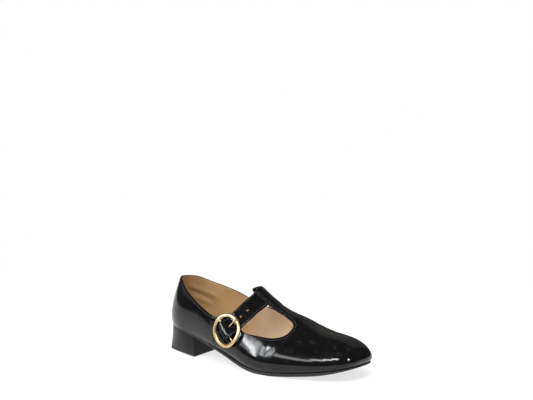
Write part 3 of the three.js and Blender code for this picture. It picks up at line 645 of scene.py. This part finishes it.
walks = stationRow(upperMaking["stations"])
rises = np.linspace(0, 1, upperMaking["rises"] + 1)
u, v, faces = cutGrid(walks, rises, lambda a, b: openness(walkPoint(a, b), upperMaking["rimInset"]), 2)
base = walkPoint(u, v)
faces = weld(base, faces)
outer = upperFace(u, v)
inner = outer - walkNormal(u, v) * (wall + liningFolds(u, v))[:, None]
flatRim = (v < 1e-6) | (np.abs(base[:, 0] - barEnd) < 0.05)
points, faces, kinds = shell(outer, inner, faces, np.where(flatRim, 0.05, 1.0))
upper = addMesh("upperLeather", points, faces, np.where(kinds >= 6, 1, 0), [patent, lining])
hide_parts("upper")
print("upper:", len(faces), "faces")


# The row of stitches below the top line, along the throat and the T-bar
def edgeLoop(inset):
    u, v, faces = cutGrid(stationRow(150), np.linspace(0, 1, 81),
                          lambda a, b: openness(walkPoint(a, b), inset), 2)
    place = walkPoint(u, v)
    after = openEdges(weld(place, faces))
    loops = []
    left = {a for a in after if v[a] > 1e-6}
    while left:
        loop = orderLoop(after, min(left))
        left -= set(loop)
        loops.append(loop)
    loop = max(loops, key=len)
    return u[loop], v[loop]


u, v = edgeLoop(upperMaking["stitchInset"])
line, lineNormals = upperFace(u, v), walkNormal(u, v)
pitch = upperMaking["stitchPitch"]
row = stitchRods(line, lineNormals, pitch, stitchShare, upperMaking["threadRadius"], True)
addPiece("upperStitches", [row], darkThread)

# Two rows beside the quarter's lap
parts = []
for side in (-1, 1):
    for back in upperMaking["seamRows"]:
        rise = np.linspace(0.02, 0.60, 60)
        walk = np.full(60, walkAt(shoe["seamPlace"] - back))
        walk = walk if side < 0 else 2 - walk
        keep = openness(walkPoint(walk, rise), upperMaking["seamKeepsOff"]) < 0
        line, lineNormals = upperFace(walk, rise)[keep], walkNormal(walk, rise)[keep]
        parts.append(stitchRods(line, lineNormals, pitch, stitchShare, upperMaking["seamThread"]))
addPiece("seamStitches", parts, darkThread)
print("upper stitches made")


# The strap lies on the last. Across runs from -1 at the outer feather edge to 1 at the inner one.
def skinPoint(x, across):
    return lastPoint(x, np.where(np.asarray(across) < 0, -1.0, 1.0), 1 - np.minimum(np.abs(across), 1))


def skinSlopes(x, across):
    step = 0.004
    middle = np.clip(across, step - 1, 1 - step)
    along = skinPoint(x + 0.5, across) - skinPoint(x - 0.5, across)
    return along, (skinPoint(x, middle + step) - skinPoint(x, middle - step)) / (2 * step)


def skinNormal(x, across):
    along, cross = skinSlopes(x, across)
    return unit(np.cross(along, cross))


def settle(point, x, across):
    x, across = np.broadcast_arrays(np.asarray(x, float), across)
    for _ in range(8):
        along, cross = skinSlopes(x, across)
        miss = point - skinPoint(x, across)
        aa, ab, bb = ((p * q).sum(-1) for p, q in ((along, along), (along, cross), (cross, cross)))
        ma, mb = (along * miss).sum(-1), (cross * miss).sum(-1)
        whole = aa * bb - ab * ab
        x = x + (ma * bb - mb * ab) / whole
        across = np.clip(across + (mb * aa - ma * ab) / whole, -0.99, 0.99)
    return x, across


def overSkin(place, height):
    return skinPoint(*place) + skinNormal(*place) * np.asarray(height)[..., None]


strapSize = {
    "width": shoe["strapWidth"], "thickness": shoe["strapThickness"], "sweep": 20.6, "reach": 61.5, "pastPin": 4,
    "innerEnd": 66, "hole": 2.2, "prongHoleUp": 6, "holeUp": 20.2, "holeSpacing": 9.8, "stitchInset": 2.0,
    "stitchPitch": 2.3, "threadRadius": 0.24, "rim": 0.85, "crown": 0.21,
}
buckleSize = {"reach": 62.5, "ringWidth": 37, "ringHeight": 34.5, "bandWidth": 4.2, "bandThickness": 2.6,
              "pin": 1.8, "prong": 1.5, "loopWidth": 14, "loopThickness": 0.9, "loopTab": 9, "ringRoom": 0.45}


def marchStrap(side):
    places = [(strapPlace, 0.0)]
    for reach in range(1, strapSize["innerEnd"] + 5):
        start = skinPoint(*places[-1])
        x = strapPlace - strapSize["sweep"] * (reach / strapSize["reach"]) ** 2
        low, high = 0.0, 0.1
        for _ in range(26):
            middle = (low + high) / 2
            near = np.linalg.norm(skinPoint(x, places[-1][1] + side * middle) - start) < 1
            low, high = (middle, high) if near else (low, middle)
        places.append((x, places[-1][1] + side * low))
    return places


lineOut, lineIn = marchStrap(-1), marchStrap(1)
reaches = np.arange(-len(lineIn) + 1, len(lineOut), 2.0)
strapRow = np.array(lineIn[:0:-1] + lineOut)
strapX = columnCurve(reaches, strapRow[::2, 0])
strapAcross = columnCurve(reaches, strapRow[::2, 1])


def strapFrame(reach):
    x, across = strapX(reach), strapAcross(reach)
    origin, normal = skinPoint(x, across), skinNormal(x, across)
    ahead, behind = (skinPoint(strapX(r), strapAcross(r)) for r in (reach + 0.5, reach - 0.5))
    down = unit(ahead - behind)
    return x, across, origin, normal, down, unit(np.cross(normal, down))


def strapPoint(reach, width, height):
    x, across, origin, _, _, toeward = strapFrame(reach)
    return overSkin(settle(origin + toeward * np.asarray(width)[..., None], x, across), height)


buckleReach = buckleSize["reach"]
buckleX, buckleAcross, buckleOrigin, buckleNormal, buckleDown, buckleToeward = strapFrame(np.array(buckleReach))
bandHeight = gap + strapSize["thickness"] + gap + buckleSize["bandThickness"] / 2 + buckleSize["ringRoom"]


def bandPoint(angle, height=bandHeight, grow=0.0):
    angle = np.asarray(angle, float)
    out = (buckleSize["ringWidth"] - buckleSize["bandWidth"]) / 2 + grow
    down = (buckleSize["ringHeight"] - buckleSize["bandWidth"]) / 2 + grow
    point = buckleOrigin + buckleToeward * (out * np.cos(angle))[..., None]
    point = point + buckleDown * (down * np.sin(angle))[..., None]
    return overSkin(settle(point, buckleX, buckleAcross), np.full(angle.shape, height))


pinEnds = bandPoint(np.array([0, math.pi]), bandHeight - 0.4)
pinMiddle = pinEnds.mean(0)
pinToeward = unit(pinEnds[0] - pinEnds[1])
pinUp = unit(-buckleDown + pinToeward * (buckleDown @ pinToeward))
pinOut = np.cross(pinUp, pinToeward)
pinOut = pinOut if pinOut @ buckleNormal > 0 else -pinOut
pinHeight = (pinMiddle - buckleOrigin) @ buckleNormal
pinRadius = buckleSize["pin"] / 2
eyeWire = buckleSize["prong"] * 0.33
eyeRadius = pinRadius + gap + eyeWire
strapOverPin = pinHeight + eyeRadius + eyeWire + gap + 0.15


def strapFloor(reach):
    out, resting = np.abs(reach) - shoe["barWidth"] / 2, gap + 0.1
    sides, climb = strapDip - strapSize["thickness"] / 2, buckleSize["ringHeight"] * 0.32
    straight = softStep((reach - shoe["barWidth"] / 2) / 14) * (1 - softStep((reach - 30) / 16))
    return (sides + (resting - sides) * softStep((out - 2) / 20) - shoe["strapTaut"] * straight
            + (strapOverPin - resting) * softStep((reach - buckleReach + climb) / climb))


def strapHalf(reach):
    tip = strapSize["width"] * 0.22
    into = np.clip((reach - buckleReach - strapSize["pastPin"] + tip) / tip, 0, 1)
    return strapSize["width"] / 2 * (1 - 0.45 * into ** 2.4)


# Each hole's place and how far it is stretched along the strap
firstHole = buckleReach - strapSize["holeUp"]
holes = [(buckleReach - strapSize["prongHoleUp"], strapSize["hole"] * 0.9), (firstHole, 0),
         (firstHole - strapSize["holeSpacing"], 0)]


def holeOpen(reach, share):
    width = share * (strapHalf(reach) - strapSize["rim"])
    best = np.full(np.shape(reach), -9.0)
    for place, stretch in holes:
        along = np.maximum(np.abs(reach - place) - stretch, 0)
        best = np.maximum(best, strapSize["hole"] / 2 + 0.42 - np.hypot(along, width))
    return best


def finer(row, places, reach, step):
    extra = [np.arange(p - reach, p + reach, step) for p in places]
    both = np.unique(np.round(np.concatenate([row, *extra]), 3))
    return both[np.concatenate([[True], np.diff(both) > step * 0.6])]


tipReach = buckleReach + strapSize["pastPin"]
us = finer(np.linspace(-strapSize["innerEnd"], tipReach - 0.8, 150), [h[0] for h in holes], 5, 0.35)
vs = finer(np.linspace(-1, 1, 23), [0], 0.24, 0.035)
u, v, faces = cutGrid(us, vs, holeOpen)
width = v * (strapHalf(u) - strapSize["rim"])
outer = strapPoint(u, width, strapFloor(u) + strapSize["thickness"] - 0.2 + strapSize["crown"] * (1 - v ** 4))
inner = strapPoint(u, width, strapFloor(u) + 0.05)
hole = (np.abs(width) < 3) & (u < buckleReach + 1) & (u > 0)
first = outer[faces[0]]
if np.cross(first[1] - first[0], first[2] - first[0]) @ (outer[0] - inner[0]) < 0:
    faces = [face[::-1] for face in faces]
points, faces, kinds = shell(outer, inner, faces, np.where(hole, 0.45, 1.0))
strap = addMesh("strapLeather", points, faces, np.where(kinds >= 7, 1, 0), [patent, lining])
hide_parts("strap")

parts = []
reach = np.linspace(-strapSize["innerEnd"] + 2, tipReach - 2.4, 240)
for side in (-1, 1):
    width = side * (strapHalf(reach) - strapSize["stitchInset"])
    line = strapPoint(reach, width, strapFloor(reach) + strapSize["thickness"] - 0.1)
    lineNormals = unit(line - strapPoint(reach, width, strapFloor(reach)))
    parts.append(stitchRods(line, lineNormals, strapSize["stitchPitch"], stitchShare, strapSize["threadRadius"]))
addPiece("strapStitches", parts, darkThread)
print("strap made")


# The T-bar's end folds round the strap and returns beneath it
def foldRings():
    outerMiddle = shoe["barRise"] - wall / 2
    bend = (outerMiddle - returnDip) / 2
    path = []
    for turn in np.linspace(0, math.pi, 25):
        path.append((barEnd, turn, wall - (wall - returnThickness) * turn / math.pi, None))
    strapFront = strapPlace + strapHalfRun
    for x in np.linspace(barEnd + 1.5, strapFront + 1.2, 10):
        path.append((x, None, returnThickness, returnDip))
    path.append((strapFront + 5, None, returnThickness, -wall - returnThickness / 2 - 0.3))
    path.append((strapFront + 8, None, returnThickness, -wall - returnThickness / 2 - 0.1))
    rings = []
    for x, turn, thick, height in path:
        back = 1 if turn is not None else -1
        half = shoe["barWidth"] / 2 - thick / 2 - (1.0 * softStep(turn / 2.4) if turn is not None else 2.4)
        arc = np.linspace(math.pi / 2, -math.pi / 2, 9)
        top = np.linspace(-half, half, 15)
        outwards, upwards = thick / 2 * np.cos(arc), thick / 2 * np.sin(arc)
        aside = np.concatenate([top[:-1], half + outwards, top[::-1][1:-1], -half - outwards[::-1]])
        offset = np.concatenate([np.full(14, thick / 2), upwards, np.full(13, -thick / 2), upwards[::-1]])
        y = barCentre(x) + aside
        start = np.stack([np.full_like(y, x), y, np.full_like(y, float(skinPoint(x, 0.0)[2]))], -1)
        place = settle(start, x, y / ballWidth)
        if turn is None:
            rings.append(overSkin(place, height + back * offset))
        else:
            behind = -unit(skinSlopes(*place)[0])
            rings.append(overSkin(place, (outerMiddle + returnDip) / 2 + (bend + offset) * math.cos(turn))
                         + behind * ((bend + offset) * math.sin(turn))[:, None])
    return rings


addPiece("barFold", [loft(foldRings())], patent)


def wireRings(core, side, up, width, height, sides, power):
    turn = (np.arange(sides) + 0.5) * 2 * math.pi / sides
    c, s = np.cos(turn), np.sin(turn)
    c, s = np.sign(c) * np.abs(c) ** (2 / power), np.sign(s) * np.abs(s) ** (2 / power)
    width, height = (np.broadcast_to(np.asarray(a, float), (len(core),)) for a in (width, height))
    aside, upwards = (width[:, None] / 2 * c)[..., None], (height[:, None] / 2 * s)[..., None]
    return core[:, None] + (side[:, None] * aside + up[:, None] * upwards)


def tube(core, side, up, width, height, sides, power=2.0, closed=False):
    return loft(wireRings(core, side, up, width, height, sides, power), closed)


angle = np.arange(150) * 2 * math.pi / 150
core = bandPoint(angle)
side = unit(bandPoint(angle, bandHeight, 1.0) - core)
up = unit(bandPoint(angle, bandHeight + 1) - core)
ring = tube(core, side, up, buckleSize["bandWidth"], buckleSize["bandThickness"], 28, 2.3, True)
ends = np.linspace(0, 1, 12)[:, None]
barCore = pinEnds[0] + (pinEnds[1] - pinEnds[0]) * ends
sideways, outwards = np.tile(pinUp, (12, 1)), np.tile(pinOut, (12, 1))
ringPin = tube(barCore, sideways, outwards, buckleSize["pin"], buckleSize["pin"], 20)
addPiece("buckleRing", [ring, ringPin], gold, "buckle_frame")


def pinPoint(up, toeward, out):
    up, toeward, out = (np.asarray(a, float)[..., None] for a in (up, toeward, out))
    return pinMiddle + pinUp * up + pinToeward * toeward + pinOut * out


turn = np.arange(40) * 2 * math.pi / 40
outwards = pinPoint(np.cos(turn), 0 * turn, np.sin(turn)) - pinMiddle
sideways = np.tile(pinToeward, (40, 1))
eye = tube(pinMiddle + outwards * eyeRadius, outwards, sideways, 2 * eyeWire, 2 * eyeWire, 14, closed=True)
crown = bandPoint(-math.pi / 2) - pinMiddle
resting = crown @ pinOut + (buckleSize["bandThickness"] + buckleSize["prong"]) / 2 + gap + 0.15
prongHole = np.array(buckleReach - strapSize["prongHoleUp"])
holePoint = strapPoint(prongHole, np.array(0.0), np.array(0.0)) - pinMiddle
lean = (holePoint @ pinToeward) / (holePoint @ pinUp)
crownUp = crown @ pinUp
knots = np.array([
    [eyeRadius, 0, 0.66], [2.6, 0.1, 0.72], [strapSize["prongHoleUp"] - 0.4, 1.1, 0.78],
    [strapSize["prongHoleUp"] + 2.4, resting - 0.1, 0.90], [crownUp - 2.4, resting + 0.2, 1.0],
    [crownUp, resting, 1.0], [crownUp + 1.7, resting - 0.4, 0.85],
])
t = np.linspace(0, 6, 60)
ups, outs, thicks = (columnCurve(np.arange(7.0), knots[:, k])(t) for k in range(3))
thicks = thicks * np.sqrt(np.clip((6.08 - t) / 0.5, 0, 1))
rod = pinPoint(ups, lean * ups, outs)
along = unit(np.gradient(rod, axis=0))
sideways = np.tile(pinToeward, (60, 1))
prongThick = buckleSize["prong"] * thicks
prongRod = tube(rod, sideways, unit(np.cross(sideways, along)), prongThick, prongThick, 16)
addPiece("buckleProng", [eye, prongRod], gold, "buckle_prong")


# The short loop that holds the pin
def loopParts():
    thick, tab = buckleSize["loopThickness"], buckleSize["loopTab"]
    lower = gap + thick / 2 - pinHeight
    upperLevel = lower + thick + gap
    bend = pinRadius + gap + thick / 2 + 0.05
    coming, going = (-tab / 2, lower), (-tab * 0.62, upperLevel + 0.1)
    touch = lambda p, sign: math.atan2(p[1], p[0]) + sign * math.acos(bend / math.hypot(*p))
    start = touch(coming, 1)
    sweep = (touch(going, -1) - start + 4 * math.pi) % (2 * math.pi)
    path = [(-tab, lower), (-tab * 0.75, lower), coming]
    path += [(bend * math.cos(turn), bend * math.sin(turn)) for turn in (start + sweep * i / 24 for i in range(25))]
    path += [going, (-tab * 0.8, upperLevel + 0.05), (-tab, upperLevel)]
    path = np.array(path)
    slope = unit(np.gradient(path, axis=0))
    parts = []
    slot = eyeWire + gap + 0.1
    for low, high in ((-buckleSize["loopWidth"] / 2, -slot), (slot, buckleSize["loopWidth"] / 2)):
        arc = np.linspace(math.pi / 2, -math.pi / 2, 7)
        radius = thick / 2
        middle, outwards = [(low + high) / 2], radius * np.cos(arc)
        near, far = low + radius, high - radius
        width = np.concatenate([[near], middle, far + outwards, middle, near - outwards[::-1]])
        offset = np.concatenate([[radius, radius], radius * np.sin(arc), [-radius], radius * np.sin(arc[::-1])])
        rings = []
        for (up, out), (su, so) in zip(path, slope):
            rings.append(pinPoint(up - so * offset, width, out + su * offset))
        parts.append(loft(rings))
    return parts


addPiece("buckleLoop", loopParts(), patent, "buckle_chape")
print("buckle made")


def outlinePoint(walk, margin):
    def flat(w):
        x, side = walkPlace(w)
        return np.stack([x, featherSide(x, side)], -1)
    slope = unit(flat(walk + 1e-3) - flat(walk - 1e-3))
    return flat(walk) + np.stack([slope[..., 1], -slope[..., 0]], -1) * np.asarray(margin)[..., None]


def soleBottom(x):
    t = np.clip(x / length, 0, 1)
    return np.maximum(featherHeight(t * length) - gap - shoe["soleThickness"] * section["sole"](t), 0)


# A plate inside the outline. Profile rows are an inset from the margin, and a height share from bottom to top.
def plate(margin, bottom, top, profile, stations=200, acrossSteps=14):
    share = (1 - np.cos(np.linspace(0, math.pi, stations + 1))) / 2
    walk = np.concatenate([share, 2 - share[-2:0:-1]])
    count = len(walk)
    rows = []
    for inset, level in profile:
        flat = outlinePoint(walk, np.full(count, margin - inset))
        low, high = bottom(flat[:, 0]), top(flat[:, 0])
        rows.append(np.column_stack([flat, low + (high - low) * level]))
    points = np.concatenate(rows)
    faces = []
    for r in range(len(rows) - 1):
        faces += ringFaces(r * count, (r + 1) * count, count)
    for row, height, flip in ((0, bottom, True), (len(rows) - 1, top, False)):
        grid = [[row * count + 0] * (acrossSteps + 1)]
        for i in range(1, stations):
            a, b = points[row * count + i], points[row * count + count - i]
            fresh = len(points)
            share = np.arange(1, acrossSteps)[:, None] / acrossSteps
            mid = a + (b - a) * share
            mid[:, 2] = a[2] + (b[2] - a[2]) * share[:, 0]
            points = np.concatenate([points, mid])
            grid.append([row * count + i, *range(fresh, fresh + acrossSteps - 1), row * count + count - i])
        grid.append([row * count + stations] * (acrossSteps + 1))
        for g, h in zip(grid, grid[1:]):
            for k in range(acrossSteps):
                ring = [g[k], g[k + 1], h[k + 1], h[k]] if flip else [g[k], h[k], h[k + 1], g[k + 1]]
                ring = [a for n, a in enumerate(ring) if a != ring[n - 1]]
                if len(ring) > 2:
                    faces.append(ring)
    return points, faces


def roundEdge(radius, thickness, steps=5):
    rows = []
    for turn in np.linspace(0, math.pi / 2, steps):
        rows.append((radius * (1 - math.sin(turn)), radius / thickness * (1 - math.cos(turn))))
    return rows + [(inset, 1 - level) for inset, level in rows[::-1]]


edgeRound = {"sole": 0.7, "sock": 1.0}
soleEdge = roundEdge(edgeRound["sole"], shoe["soleThickness"])
solePlate = plate(shoe["soleMargin"], soleBottom, lambda x: featherHeight(x) - gap, soleEdge)
addPiece("soleUnit", [solePlate], soleRubber, "outsole")

sockEdge = roundEdge(edgeRound["sock"], shoe["insoleThickness"])
sockPlate = plate(-wall - gap - 0.1, featherHeight, lambda x: featherHeight(x) + shoe["insoleThickness"], sockEdge)
addPiece("sockLining", [sockPlate], sockLeather, "insole")

heelSize = {"length": 53, "skew": 8.6, "topPiece": 2.6}


def heelRing(height, steps=56, inset=0.0):
    seatWidth = ballWidth * 2 * float(section["half"](heelSize["length"] / length))
    innerShare = 1 - seatWidth * math.tan(math.radians(heelSize["skew"])) / heelSize["length"]
    share = np.linspace(0, 1, steps)
    sides = []
    for side, reach in ((-1, 1.0), (1, innerShare)):
        walk = walkAt(heelSize["length"] * reach) * share
        seat = outlinePoint(walk if side < 0 else 2 - walk, np.full(steps, shoe["soleMargin"] - inset))
        top = soleBottom(seat[:, 0])
        along = heelSize["length"] * footAlong(share)
        foot = np.stack([np.where(along > 0, along * reach, along), side * ballWidth * footHalf(share)], -1)
        foot[:, 0] += inset * (share < 0.2)
        foot[:, 1] -= side * inset
        z = np.full(steps, height) if height is not None else top - gap
        flat = foot + (seat - foot) * (z / top)[:, None]
        sides.append(np.column_stack([flat, z]))
    outer, inner = sides
    breast = outer[-1] + (inner[-1] - outer[-1]) * np.linspace(0, 1, 12)[1:-1, None]
    for rows in (outer[-1:], inner[-1:], breast):
        rows[:, 0] -= inset
    return np.concatenate([outer, breast, inner[::-1][:-1]])


# A body between levels, each a height and how far the ring is drawn in there
def heelPart(levels):
    return loft([heelRing(height, inset=inset) for height, inset in levels])


heelEdge = ((0, 0.35), (0.12, 0.1), (0.4, 0))  # how far up and how far in, in millimetres


def rounded(height, way):
    return [(height + way * rise, inset) for rise, inset in heelEdge]


topPiece = heelSize["topPiece"]
blockLevels = rounded(topPiece + gap, 1) + [(8, 0), (13, 0), (18, 0), (None, 0)]
addPiece("heelBlock", [heelPart(blockLevels)], heelCover, "heel", 35)
topPieceLevels = rounded(0, 1) + rounded(topPiece, -1)[::-1]
addPiece("heelTopPiece", [heelPart(topPieceLevels)], treadRubber, "heel_top_piece", 35)
print("sole and heel made")


# A round pale floor, and a backdrop that rises round it and isn't seen in the gloss
def stageRing(name, rings, material):
    turns = 96
    angles = np.arange(turns) * 2 * math.pi / turns
    points = np.array([[r * math.cos(a), r * math.sin(a), z] for r, z in rings for a in angles])
    faces = []
    for low in range(0, (len(rings) - 1) * turns, turns):
        high = low + turns
        faces += [[low + j, high + j, high + (j + 1) % turns, low + (j + 1) % turns] for j in range(turns)]
    mesh = bpy.data.meshes.new(name)
    mesh.from_pydata(points.tolist(), [], faces)
    mesh.shade_smooth()
    mesh.materials.append(material)
    piece = newObject(name, mesh)
    return piece


floorGlow, skyGlow = 0.72, 0.055


def stageMaterial():
    material, shader, place = newMaterial("paleFloor")
    tree = material.node_tree
    far = place.node("VectorMath", {"operation": "LENGTH"}, {0: place}, 1).between(0.30, 0.95)
    glow = place.node("Emission", None, {"Color": (1, 1, 1, 1), "Strength": 1.0})
    feed(shader, Base_Color=(0.88, 0.88, 0.88, 1), Roughness=0.7)
    share, plain = floorGlow + (1 - floorGlow) * far, Wire(tree, shader.outputs[0])
    mixed = place.node("MixShader", None, {0: share, 1: plain, 2: glow})
    tree.links.new(mixed.socket, tree.nodes["Material Output"].inputs["Surface"])
    return material


stageSize = {"floor": 2.6, "rise": 1.6, "top": 3.6, "sink": -0.0002}  # in metres
pale = stageMaterial()
reach, rise, level = stageSize["floor"], stageSize["rise"], stageSize["sink"]
stageRing("studioFloor", [(r, level) for r in (0.0001, *np.linspace(0.1, reach, 20))], pale)
bowl = [(reach + rise * math.sin(t), rise * (1 - math.cos(t)) + level) for t in np.linspace(0, math.pi / 2, 14)]
backdrop = stageRing("backdrop", bowl + [(reach + rise, stageSize["top"])], pale)
backdrop.visible_glossy = backdrop.visible_diffuse = backdrop.visible_shadow = False

world = bpy.data.worlds.new("studio")
bpy.context.scene.world = world
world.use_nodes = True
world.node_tree.nodes["Background"].inputs["Color"].default_value = (1, 1, 1, 1)
world.node_tree.nodes["Background"].inputs["Strength"].default_value = skyGlow


lightCentre = np.array([0.03, -0.03, 0.03])


def areaLight(name, turn, up, distance, target, size, power, colour=(1, 1, 1)):
    light = bpy.data.lights.new(name, "AREA")
    light.shape, light.size, light.size_y = "RECTANGLE", size[0], size[1]
    light.energy, light.color = power, colour
    lamp = newObject(name, light)
    turn, up = math.radians(turn), math.radians(up)
    place = lightCentre + distance * np.array([
        math.cos(up) * math.cos(turn), math.cos(up) * math.sin(turn), math.sin(up)])
    away = unit(place - target)
    right = unit(np.cross((0, 0, 1), away))
    up = np.cross(away, right)
    lamp.matrix_world = Matrix([*np.column_stack([right, up, away, place]).tolist(), [0, 0, 0, 1]])
    return lamp


# Fills light the shoe evenly and aren't seen in the gloss: direction, size in metres, power in watts
fills = {
    "fillTop": (-60, 80, (2.4, 2.4), 44),
    "fillSide": (-75, 38, (1.6, 1.2), 22),
    "fillHeel": (200, 40, (1.2, 1.0), 5),
    "fillInner": (100, 40, (1.4, 1.0), 7),
}
for name, (turn, up, size, power) in fills.items():
    areaLight(name, turn, up, 1.8, (0, 0, 0.03), size, power).visible_glossy = False

# Boxes that the patent leather and the gold reflect: direction, size, radiance and colour
boxes = {
    "windowOne": (-131, 26, (0.03, 0.80), 9.0, (0.93, 0.97, 1.0)),
    "windowTwo": (-126, 24, (0.06, 0.72), 46.0, (0.93, 0.97, 1.0)),
    "windowThree": (-120.0, 27, (0.06, 0.45), 20.0, (0.93, 0.97, 1.0)),
    "stripOne": (-106, 27, (0.42, 0.16), 8.0, (1, 1, 1)),
    "stripTwo": (-92, 33, (0.42, 0.16), 14.0, (1, 1, 1)),
    "stripThree": (-77, 37, (0.42, 0.15), 22.0, (1, 1, 1)),
    "stripFour": (-58, 41, (0.46, 0.14), 34.0, (1, 1, 1)),
    "toeSpot": (0, 28.5, (0.17, 0.17), 60.0, (1, 1, 1)),
    "backWall": (112, 34, (1.9, 0.9), 0.15, (1.0, 0.90, 0.78)),
    "heelWall": (-160, 12, (0.8, 0.35), 0.22, (1, 1, 1)),
    "frontWall": (-60, 62, (1.2, 0.4), 0.16, (1, 1, 1)),
}
for name, (turn, up, size, radiance, colour) in boxes.items():
    power = radiance * math.pi * size[0] * size[1]
    areaLight(name, turn, up, 1.6, lightCentre, size, power, colour)

camera = bpy.data.cameras.new("camera")
camera.sensor_width, camera.sensor_fit = 36, "HORIZONTAL"
camera.lens = 913.04 * 36 / 533  # 913.04 pixels of an image 533 wide
camera.clip_start = 0.05
eyeObject = newObject("camera", camera)
# The camera's right, up and backward directions, and its place
view = np.array([
    (0.777441712, 0.628954897, 0.000350999),
    (-0.0374268924, 0.0457057279, 0.998253582),
    (0.627840436, -0.77609711, 0.0590733666),
    (0.62202, -0.756296, 0.234793),
])
eyeObject.matrix_world = Matrix([*view.T.tolist(), [0, 0, 0, 1]])
bpy.context.scene.camera = eyeObject
bpy.context.scene.view_settings.view_transform = "Standard"
